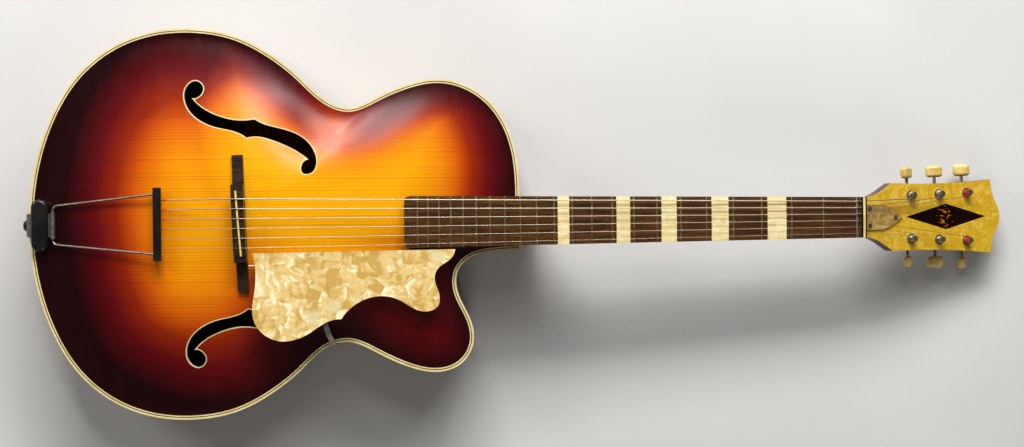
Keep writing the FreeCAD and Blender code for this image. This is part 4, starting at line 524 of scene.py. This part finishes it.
tree = guard_pearl.node_tree
shader = tree.nodes["Principled BSDF"]
colour = shader.inputs["Base Color"].links[0].from_socket
for x, y in GUARD_MARKS:
    away = vectors(tree, "DISTANCE", spot(tree, (1.0, 1.0, 0.0)), (x, y, 0.0))
    share = maths(tree, "DIVIDE", away, MARK_REACH)
    weight = ramp(tree, share, MARK_FADE, smooth=True)
    colour = mix(tree, weight, colour, ramp(tree, share, MARK_TONES, smooth=True))
tree.links.new(colour, shader.inputs["Base Color"])
print("marks on the pickguard:", len(GUARD_MARKS))

# %% [markdown]
# ## Tortoiseshell and plain plastics
# The lozenge is imitation tortoiseshell, nearly black with a few amber flecks by its middle. Bindings,
# buttons and the tailpiece bar are cream and black plastic. One flat colour would look like paint. So
# slow noise drifts the tone, and a stretched, turned noise scratches the gloss.

# %% Tortoiseshell
LOZENGE_MIDDLE = (0.460, 0.0, 0.046)
SHELL_TONES = [(0.35, (0.004, 0.0008, 0.0008)), (0.70, (0.012, 0.002, 0.0012))]
SHELL_AMBER = (0.42, 0.13, 0.010)
SHELL_CLOUDS = (60.0, 60.0, 60.0)
SHELL_FLECKS = (150.0, 330.0, 150.0)
FLECK_TURN = (0.0, 0.0, 1.35)
FLECK_REACH = greys((0.010, 1.0), (0.026, 0.0))

tortoise, tree, shader = finish("tortoiseshell", 0.22, coat=0.2, specular=0.2)
clouds = noise(tree, spot(tree, SHELL_CLOUDS), 1.0, 3.0, 0.6, 0.8)
flecks = noise(tree, spot(tree, SHELL_FLECKS, FLECK_TURN), 1.0, 2.0, 0.5, 0.6)
away = vectors(tree, "DISTANCE", spot(tree), LOZENGE_MIDDLE)
near = ramp(tree, away, FLECK_REACH)
amber = ramp(tree, maths(tree, "MULTIPLY", flecks, near), greys((0.52, 0.0), (0.58, 1.0)))
tree.links.new(mix(tree, amber, ramp(tree, clouds, SHELL_TONES), SHELL_AMBER), shader.inputs["Base Color"])
print("amber flecks gather at", LOZENGE_MIDDLE)

# %% Cream and black plastics
RUB_RELIEF = 0.0002
SCRATCHES = (400.0, 60.0, 120.0)
SCRATCH_TURN = (0.0, 0.0, 0.7)


def plastic(name, dark, light, roughness, scale=60.0, coat=0.3):
    """A solid plastic with slow drifts of tone, faint scratches and a worn gloss."""
    material, tree, shader = finish(name, roughness, coat=coat, coat_roughness=0.1, specular=0.2)
    drift = noise(tree, spot(tree), scale, 3.0, 0.6)
    rub = noise(tree, spot(tree, SCRATCHES, SCRATCH_TURN), 1.0, 4.0, 0.7)
    tree.links.new(ramp(tree, drift, [(0.30, dark), (0.72, light)]), shader.inputs["Base Color"])
    tree.links.new(ramp(tree, rub, grey(roughness - 0.08, roughness + 0.14)), shader.inputs["Roughness"])
    bump(tree, shader, rub, 0.03, RUB_RELIEF)
    return material


cream = plastic("cream_binding", (0.66, 0.50, 0.20), (0.82, 0.70, 0.38), 0.35)
nut_cream = plastic("nut_cream", (0.62, 0.46, 0.16), (0.82, 0.68, 0.34), 0.35)
button_cream = plastic("button_cream", (0.58, 0.38, 0.075), (0.82, 0.62, 0.22), 0.30, 90.0, 0.5)
saddle_yellow = plastic("saddle_bone", (0.62, 0.42, 0.06), (0.80, 0.60, 0.16), 0.35)
black = plastic("black_plastic", (0.004, 0.004, 0.004), (0.014, 0.013, 0.012), 0.30, 40.0, 0.4)
dark_line = plastic("dark_line", (0.020, 0.013, 0.008), (0.045, 0.028, 0.015), 0.45)

# %% [markdown]
# ## Metals and silk
# The plating is old: nickel that has clouded, brass gears and frets polished by fingers and strings. One
# even grey metal would look new. Here the cloudiness goes into the roughness as well as the colour, so
# the glints break up. The wound strings end in red silk, which is matt, with fine threads round it.

# %% Aged metals
RUBBING = (900.0, 150.0, 400.0)
CLOUDING = 220.0
STRING_CLOUDING = 500.0


def metal(name, dull, clean, roughness, scale=CLOUDING):
    """A plated metal with clouded patches and fine rubbing marks."""
    material, tree, shader = finish(name, roughness, metallic=1.0)
    cloud = noise(tree, spot(tree), scale, 5.0, 0.65)
    rub = noise(tree, spot(tree, RUBBING), 1.0, 2.0)
    tree.links.new(ramp(tree, cloud, [(0.32, dull), (0.66, clean)]), shader.inputs["Base Color"])
    clouded = ramp(tree, cloud, grey(roughness + 0.22, roughness - 0.10))
    rubbed = ramp(tree, rub, grey(roughness - 0.1, roughness + 0.2))
    tree.links.new(mix(tree, 0.5, clouded, rubbed), shader.inputs["Roughness"])
    bump(tree, shader, rub, 0.04, RUB_RELIEF)
    return material


nickel = metal("aged_nickel", (0.26, 0.22, 0.16), (0.62, 0.58, 0.50), 0.34)
dark_nickel = metal("dull_nickel", (0.16, 0.13, 0.10), (0.40, 0.36, 0.30), 0.40)
brass = metal("gear_brass", (0.34, 0.20, 0.06), (0.66, 0.47, 0.18), 0.36)
fret_brass = metal("fret_brass", (0.42, 0.30, 0.09), (0.78, 0.62, 0.28), 0.28)
zero_fret_metal = metal("pale_fret", (0.50, 0.46, 0.36), (0.82, 0.78, 0.68), 0.28)
string_steel = metal("plain_string", (0.40, 0.36, 0.29), (0.66, 0.61, 0.52), 0.30, STRING_CLOUDING)
wound_steel = metal("wound_string", (0.34, 0.30, 0.23), (0.60, 0.55, 0.45), 0.38, STRING_CLOUDING)

# %% Silk
SILK_TONES = [(0.3, (0.35, 0.008, 0.010)), (0.7, (0.78, 0.030, 0.024))]
SILK_THREADS = (2600.0, 500.0, 500.0)

silk, tree, shader = finish("red_silk", 0.75, specular=0.3)
threads = noise(tree, spot(tree, SILK_THREADS), 1.0, 2.0)
tree.links.new(ramp(tree, threads, SILK_TONES), shader.inputs["Base Color"])
bump(tree, shader, threads, 0.3, RUB_RELIEF)
print("materials:", len(bpy.data.materials))

# %% [markdown]
# ## Dressing the solids
# Most solids already have the right shape and smooth normals. They could be modelled again, but then two
# shapes would have to agree. So they stay, and only their material slot changes.

# %% Finishes for the solids that stay
FINISH_OF = {
    "sides": side_maple, "body_bindings": cream, "body_purfling": dark_line, "f_hole_bindings": cream,
    "body_blocks": bare_spruce, "linings": bare_spruce, "tone_bars": bare_spruce, "heel_cap": cream,
    "neck": neck_maple, "headstock_face": head_pearl, "headstock_lozenge": tortoise, "fingerboard": rosewood,
    "inlay_blocks": inlay_pearl, "truss_rod": dark_nickel, "truss_rod_nut": brass, "truss_cover": cover_pearl,
    "bridge_base": ebonised, "bridge_studs": nickel, "bridge_top": ebonised, "saddle": saddle_yellow,
    "bass_thumbwheel": nickel, "treble_thumbwheel": nickel, "tailpiece_wire": dark_nickel,
    "tailpiece_bar": black, "tailpiece_hinge": dark_nickel, "tailpiece_cap": black, "end_pin": black,
    "pickguard": guard_pearl, "tuner_plates": nickel, "small_screws": dark_nickel, "post_bushings": nickel,
}
STRING_NUMBERS = range(1, 7)

for number in STRING_NUMBERS:
    FINISH_OF["worm_shaft_%d" % number] = nickel
    FINISH_OF["tuner_button_%d" % number] = button_cream
for node, material in FINISH_OF.items():
    for slot in nodes[node].material_slots:
        slot.material = material
print("dressed", len(FINISH_OF), "solids")

# %% [markdown]
# ## Copies of solids
# Some solids need more than a new slot: a smoother surface, or several finishes. Their meshes could be
# changed in place, but the frame should stay as it is. So each gets a copy, which takes the
# place of its node. A node's mesh is loose triangles, so the copy is merged first.

# %% Merge a node and make a piece
SAME_POINT = 1e-6
SHARP_DEGREES = 32.0


def merged(node):
    """A bmesh of a node with its loose triangles joined."""
    shell = bmesh.new()
    shell.from_mesh(nodes[node].data)
    bmesh.ops.remove_doubles(shell, verts=shell.verts, dist=SAME_POINT)
    shell.verts.index_update()
    return shell


def piece_from(name, points, faces, materials, picks=None):
    """A smooth-shaded mesh object with sharp edges kept, in place at the origin."""
    mesh = bpy.data.meshes.new(name)
    mesh.from_pydata(points, [], faces)
    for material in materials:
        mesh.materials.append(material)
    if picks:
        mesh.polygons.foreach_set("material_index", picks)
    mesh.shade_smooth()
    mesh.set_sharp_from_angle(angle=math.radians(SHARP_DEGREES))
    return linked(name, mesh)


print("edges stay sharp above", SHARP_DEGREES, "degrees")

# %% [markdown]
# ## Top and back
# The sunburst needs to know how far each point is from the edge. The binding marks that edge, so a
# search tree of points along it, flattened to the plane of the body, gives the distance for each vertex
# of the plate. The plates are cut finer first, so that the ramp between vertices stays smooth.
# Gloss also shows the least unevenness of an arch. A Smooth modifier would soften the rim and the
# f-holes too. So the outer face's heights are read on a square grid, averaged with a bell-shaped
# weight, and given back to the vertices, except beside the bindings.

# %% Search trees for the edges
EDGE_STEP = 0.002


def flat_tree(*names):
    """A search tree of points along some nodes' edges, flattened to the plane of the body."""
    spots = set()
    for name in names:
        mesh = nodes[name].data
        for edge in mesh.edges:
            start, end = (mesh.vertices[index].co for index in edge.vertices)
            count = 1 + int((end - start).length / EDGE_STEP)
            for step in range(count):
                point = start.lerp(end, step / count)
                spots.add((round(point.x, 4), round(point.y, 4)))
    made = kdtree.KDTree(len(spots))
    for index, (x, y) in enumerate(sorted(spots)):
        made.insert((x, y, 0.0), index)
    made.balance()
    print("edge points on", names, len(spots))
    return made


edge_tree = flat_tree("body_bindings")
top_held = flat_tree("body_bindings", "f_hole_bindings")

# %% Heights on a grid
GRID_STEP = 0.002
GRID_MARGIN = 0.03
BELL_REACH = 12
BROAD_BELL = 4.0
FILL_ROUNDS = 12
FAR_OFF = 1.0


def bell_average(heights, wide):
    """Heights on a grid, averaged both ways with a bell-shaped weight."""
    bell = numpy.exp(-0.5 * (numpy.arange(-BELL_REACH, BELL_REACH + 1) / wide) ** 2)
    for axis in (0, 1):
        heights = numpy.apply_along_axis(numpy.convolve, axis, heights, bell / bell.sum(), "same")
    return heights


def outer_heights(shell, side, corner, rows, columns):
    """The heights of a plate's outer face on a grid. Its holes are filled from round about."""
    rays = BVHTree.FromBMesh(shell)
    heights = numpy.full((rows, columns), numpy.nan)
    for row in range(rows):
        for column in range(columns):
            start = (corner[0] + column * GRID_STEP, corner[1] + row * GRID_STEP, FAR_OFF * side)
            hit = rays.ray_cast(start, (0.0, 0.0, -side))[0]
            if hit is not None:
                heights[row, column] = hit.z
    known = numpy.isfinite(heights)
    rim = numpy.nanmin(heights * side) * side
    filled = numpy.where(known, heights, rim)
    for turn in range(FILL_ROUNDS):
        filled = numpy.where(known, heights, bell_average(filled, BROAD_BELL))
    print("grid of", rows, "by", columns, "heights,", int(known.sum()), "on the plate")
    return filled


def read(grid, across, along):
    """A grid's value between its points."""
    column, row = int(across), int(along)
    u, v = across - column, along - row
    low = grid[row, column] * (1.0 - u) + grid[row, column + 1] * u
    high = grid[row + 1, column] * (1.0 - u) + grid[row + 1, column + 1] * u
    return low * (1.0 - v) + high * v


print("grid step", GRID_STEP * 1000.0, "mm")

# %% Even out an arch
FINE_BELL = 1.5
SAME_FACE = 0.0015
HELD = 0.008
BROAD_FROM_EDGE = 0.030


def eased(share):
    """A share from 0 to 1 that starts and ends gently."""
    share = min(1.0, max(0.0, share))
    return share * share * (3.0 - 2.0 * share)


def even_out(shell, side, held):
    """Average a plate's outer face, finely near its bindings and broadly away from them."""
    points = [vert.co for vert in shell.verts]
    corner = [min(point[axis] for point in points) - GRID_MARGIN for axis in (0, 1)]
    far = [max(point[axis] for point in points) + GRID_MARGIN for axis in (0, 1)]
    columns, rows = (int((far[axis] - corner[axis]) / GRID_STEP) for axis in (0, 1))
    heights = outer_heights(shell, side, corner, rows, columns)
    fine = bell_average(heights, FINE_BELL)
    broad = bell_average(heights, BROAD_BELL)
    most = 0.0
    for vert in shell.verts:
        across, along = ((vert.co[axis] - corner[axis]) / GRID_STEP for axis in (0, 1))
        if abs(vert.co.z - read(heights, across, along)) < SAME_FACE:
            near, wide = read(fine, across, along), read(broad, across, along)
            apart = held.find((vert.co.x, vert.co.y, 0.0))[2]
            level = near + (wide - near) * eased(apart / BROAD_FROM_EDGE)
            change = (level - vert.co.z) * eased(apart / HELD)
            vert.co.z += change
            most = max(most, abs(change))
    return most


print("vertices are held within", HELD * 1000.0, "mm of a binding")

# %% Plates with their distance to the edge
FLAT_EDGE = 0.006
CUTS = 4


def plate(node, name, material, side, held):
    """A finer, smoother copy of a plate that carries its distance to the edge."""
    shell = merged(node)
    for turn in range(CUTS):
        long_edges = [edge for edge in shell.edges if edge.calc_length() > FLAT_EDGE]
        bmesh.ops.subdivide_edges(shell, edges=long_edges, cuts=1)
        bmesh.ops.triangulate(shell, faces=shell.faces[:])
    moved = even_out(shell, side, held)
    shell.verts.index_update()
    points = [vert.co.copy() for vert in shell.verts]
    faces = [[vert.index for vert in face.verts] for face in shell.faces]
    shell.free()
    piece = piece_from(name, points, faces, [material])
    layer = piece.data.attributes.new("edge_distance", "FLOAT", "POINT")
    layer.data.foreach_set("value", [edge_tree.find((point.x, point.y, 0.0))[2] for point in points])
    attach(piece, "body")
    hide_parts(node)
    print(name, len(faces), "triangles, evened by at most", round(moved * 1000.0, 2), "mm")


plate("top_plate", "carved_top", spruce, 1.0, top_held)
plate("back_plate", "carved_back", back_maple, -1.0, edge_tree)

# %% [markdown]
# ## Nut, frets and pickguard fixings
# A few solids are more than one thing in the hand: a nut of three plies, brass frets with a pale zero
# fret, a bracket, a pin and a block that hold the pickguard. They could be cut apart. It is simpler to
# give each a copy whose faces take their finish from where they lie.

# %% Solids of several finishes
NECK_PITCH = math.radians(4.0)
NECK_AXIS = Vector((math.cos(NECK_PITCH), 0.0, -math.sin(NECK_PITCH)))
PLY_ENDS = (0.3544, 0.3568)
ZERO_FRET_FROM = 0.345
BRACKET_BELOW_Y = -0.085
PIN_BELOW_X = -0.25


def dressed(node, name, materials, pick):
    """A copy of a node whose faces take one of several finishes, picked by each face's middle."""
    shell = merged(node)
    points = [vert.co.copy() for vert in shell.verts]
    faces = [[vert.index for vert in face.verts] for face in shell.faces]
    picks = [pick(face.calc_center_median()) for face in shell.faces]
    shell.free()
    piece = piece_from(name, points, faces, materials, picks)
    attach(piece, body_of_node[node])
    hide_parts(node)
    print(name, len(faces), "faces in", len(materials), "finishes")


def ply_of(point):
    """The pale core of the nut lies between two dark plies."""
    return int(PLY_ENDS[0] < point.dot(NECK_AXIS) < PLY_ENDS[1])


def fixing_of(point):
    """Which of the pickguard's fixings a point is on: the bracket, the pin or the block."""
    if point.y < BRACKET_BELOW_Y:
        return 0
    return 1 if point.x < PIN_BELOW_X else 2


dressed("nut", "layered_nut", [black, nut_cream], ply_of)
dressed("frets", "fret_wires", [fret_brass, zero_fret_metal], lambda point: int(point.x > ZERO_FRET_FROM))
dressed("pickguard_fixings", "guard_fixings", [dark_nickel, nickel, ebonised], fixing_of)

# %% [markdown]
# ## Tuner posts
# A post turns with its brass gear and the string wound on it. Each could be modelled anew, but the node
# already holds them as separate shells. A shell is found by walking from face to face over shared edges.
# The winding, with the most faces, gets the finish of its string. The gear is the part of the other
# shells that lies behind the headstock.

# %% Posts, gears and windings
HEAD_LEAN = math.radians(17.0)
HEAD_UP = Vector((math.sin(HEAD_LEAN), 0.0, math.cos(HEAD_LEAN)))
# The gear is below this level, measured square to the face of the headstock.
GEAR_BELOW = 0.162
SILK_POSTS = (3, 4)
WOUND_STRINGS = (3, 4, 5, 6)


def wrap_of(number):
    """The finish of a string where it is wound on its post."""
    if number in SILK_POSTS:
        return silk
    return wound_steel if number in WOUND_STRINGS else string_steel


def shells(mesh):
    """The separate shells of a bmesh, as lists of faces."""
    left = set(mesh.faces)
    found = []
    while left:
        queue = [left.pop()]
        group = []
        while queue:
            face = queue.pop()
            group.append(face)
            near = {other for edge in face.edges for other in edge.link_faces if other in left}
            left -= near
            queue.extend(near)
        found.append(group)
    return found


def shell_piece(name, group, materials, pick):
    """A piece from some faces of a bmesh."""
    verts = {vert for face in group for vert in face.verts}
    number_of = {vert: index for index, vert in enumerate(sorted(verts, key=lambda vert: vert.index))}
    points = [vert.co.copy() for vert in number_of]
    faces = [[number_of[vert] for vert in face.verts] for face in group]
    picks = [pick(face.calc_center_median()) for face in group]
    return piece_from(name, points, faces, materials, picks)


for number in STRING_NUMBERS:
    node = "string_post_%d" % number
    mesh = merged(node)
    groups = sorted(shells(mesh), key=len)
    winding = groups.pop()
    coil = shell_piece("winding_%d" % number, winding, [wrap_of(number)], lambda point: 0)
    rest = [face for group in groups for face in group]
    hardware = shell_piece(
        "post_and_gear_%d" % number, rest, [nickel, brass],
        lambda point: int(point.dot(HEAD_UP) < GEAR_BELOW),
    )
    mesh.free()
    for piece in (coil, hardware):
        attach(piece, "post_%d" % number)
        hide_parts(node)
    print(node, "winding of", len(winding), "faces")

# %% [markdown]
# ## Strings
# A plain string is bare steel wire, and a wound one has a thinner wire wrapped round it. A curve with a
# bevel would give the first, but not the ribs of the second. So Geometry Nodes make both: a line of a few
# points becomes a curve, is cut into equal steps, and a round profile is swept along it. On the wound
# strings every second step is a little thinner. The same tree makes the silk, with finer ribs.
# A string is stretched over the saddle, and the saddle moves when the thumbwheels turn. Each string
# is made as two pieces that meet at the saddle.

# %% A tree for a wrapped line
RING_SIDES = 8
LINE_SIZES = ("Radius", "Step", "Rib Depth")


def wrapped_line_tree():
    """Geometry Nodes that sweep a ribbed round tube along a line."""
    tree = bpy.data.node_groups.new("wrapped_line", "GeometryNodeTree")
    face = tree.interface
    face.new_socket("Line", in_out="INPUT", socket_type="NodeSocketGeometry")
    for name in LINE_SIZES:
        face.new_socket(name, in_out="INPUT", socket_type="NodeSocketFloat")
    face.new_socket("Finish", in_out="INPUT", socket_type="NodeSocketMaterial")
    face.new_socket("Tube", in_out="OUTPUT", socket_type="NodeSocketGeometry")
    given = add(tree, "NodeGroupInput").outputs
    curve = add(tree, "GeometryNodeMeshToCurve", {"Mesh": given["Line"]}).outputs[0]
    steps = add(tree, "GeometryNodeResampleCurve", {"Curve": curve, "Length": given["Step"]}, mode="LENGTH")
    odd = maths(tree, "MODULO", add(tree, "GeometryNodeInputIndex").outputs[0], 2.0)
    full = maths(tree, "SUBTRACT", 1.0, maths(tree, "MULTIPLY", odd, given["Rib Depth"]))
    size = maths(tree, "MULTIPLY", full, given["Radius"])
    circle = {"Resolution": RING_SIDES, "Radius": 1.0}
    ring = add(tree, "GeometryNodeCurvePrimitiveCircle", circle, mode="RADIUS").outputs[0]
    path = {"Curve": steps.outputs[0], "Profile Curve": ring, "Scale": size, "Fill Caps": True}
    sweep = add(tree, "GeometryNodeCurveToMesh", path).outputs[0]
    soft = add(tree, "GeometryNodeSetShadeSmooth", {"Geometry": sweep}).outputs[0]
    real = add(tree, "GeometryNodeRealizeInstances", {"Geometry": soft}).outputs[0]
    done = add(tree, "GeometryNodeSetMaterial", {"Geometry": real, "Material": given["Finish"]}).outputs[0]
    add(tree, "NodeGroupOutput", {"Tube": done})
    return tree


line_tree = wrapped_line_tree()
line_sockets = [item for item in line_tree.interface.items_tree if item.in_out == "INPUT"]
LINE_INPUTS = {item.name: item.identifier for item in line_sockets}


def wrapped_line(name, points, radius, step, depth, material):
    """A tube along some points, as a plain mesh piece."""
    mesh = bpy.data.meshes.new(name + "_line")
    mesh.from_pydata(points, [(n, n + 1) for n in range(len(points) - 1)], [])
    line = linked(name + "_line", mesh)
    sweep = line.modifiers.new("sweep", "NODES")
    sweep.node_group = line_tree
    for key, value in (("Radius", radius), ("Step", step), ("Rib Depth", depth), ("Finish", material)):
        sweep[LINE_INPUTS[key]] = value
    solid = bpy.data.meshes.new_from_object(line.evaluated_get(bpy.context.evaluated_depsgraph_get()))
    bpy.data.objects.remove(line)
    solid.name = name
    return linked(name, solid)


print("inputs of the tree:", list(LINE_INPUTS))

# %% [markdown]
# ## The path of a string
# The CAD string is three straight lengths with a small bend on the saddle and on the zero fret. Its long
# edges run along those lengths, so their ends give the two rings of vertices that close each length. The
# middles of the rings give its line, and two lines meet at a bend. So no place has to be typed in here.

# %% Where each string runs
LONG_EDGE = 0.02
# Along X, the second length of a string begins after the first place, and the third after the second.
LENGTHS_FROM = (-0.33, 0.30)
MICROMETRE_DIGITS = 6


def middle(ring):
    """The middle of some points."""
    return Vector([sum(values) / len(ring) for values in zip(*ring)])


def string_path(node):
    """A string's points at the tail, the saddle, the zero fret and the post, to a micrometre."""
    mesh = nodes[node].data
    rings = [set() for side in range(2 * (len(LENGTHS_FROM) + 1))]
    for edge in mesh.edges:
        low, high = sorted(tuple(mesh.vertices[index].co) for index in edge.vertices)
        if high[0] - low[0] > LONG_EDGE:
            length = sum(low[0] > start for start in LENGTHS_FROM)
            rings[2 * length].add(low)
            rings[2 * length + 1].add(high)
    ends = [middle(ring) for ring in rings]
    saddle = intersect_line_line(*ends[0:4])[0]
    zero_fret = intersect_line_line(*ends[2:6])[0]
    path = (ends[0], saddle, zero_fret, ends[5])
    return [Vector([round(value, MICROMETRE_DIGITS) for value in point]) for point in path]


STRING_PATHS = {number: string_path("string_%d" % number) for number in STRING_NUMBERS}
playing_lengths = [(path[2] - path[1]).length for path in STRING_PATHS.values()]
print("saddle to zero fret in mm:", [round(length * 1000.0, 1) for length in playing_lengths])

# %% Six strings, each in two lengths
# Radii from string 1 to string 6, a little less than those of the solids.
STRING_RADII = (0.00015, 0.00020, 0.00030, 0.00040, 0.00052, 0.00065)
RIB_STEP = 0.0005
RIB_DEPTH = 0.10
PLAIN_STEP = 0.01
SILK_STEP = 0.0003
SILK_DEPTH = 0.12
SILK_SWELL = 1.3
SILK_TAIL_LONG = 0.010
# A hair more than 30 steps, so that rounding never drops one.
SILK_HEAD_LONG = 30.01 * SILK_STEP


def partway(start, end, distance):
    """The point at a distance from start towards end."""
    return start + (end - start).normalized() * distance


def silk_wrap(name, points, radius):
    """Silk round a short end of a string."""
    return wrapped_line(name, points, radius * SILK_SWELL, SILK_STEP, SILK_DEPTH, silk)


for number, radius in zip(STRING_NUMBERS, STRING_RADII):
    tail, saddle, zero_fret, post = STRING_PATHS[number]
    wound = number in WOUND_STRINGS
    wire = (radius, RIB_STEP, RIB_DEPTH, wound_steel) if wound else (radius, PLAIN_STEP, 0.0, string_steel)
    behind = wrapped_line("string_%d_behind_bridge" % number, [tail, saddle], *wire)
    playing = wrapped_line("string_%d_playing" % number, [saddle, zero_fret, post], *wire)
    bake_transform(behind)
    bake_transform(playing)
    pieces = [behind, playing]
    if wound:
        tuft = silk_wrap("silk_tail_%d" % number, [tail, partway(tail, saddle, SILK_TAIL_LONG)], radius)
        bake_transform(tuft)
        pieces.append(tuft)
    if number in SILK_POSTS:
        tuft = silk_wrap("silk_head_%d" % number, [partway(post, zero_fret, SILK_HEAD_LONG), post], radius)
        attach(tuft, "body")
        pieces.append(tuft)
    for piece in pieces:
        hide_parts("string_%d" % number)
    print("string", number, sum(len(piece.data.polygons) for piece in pieces), "faces")
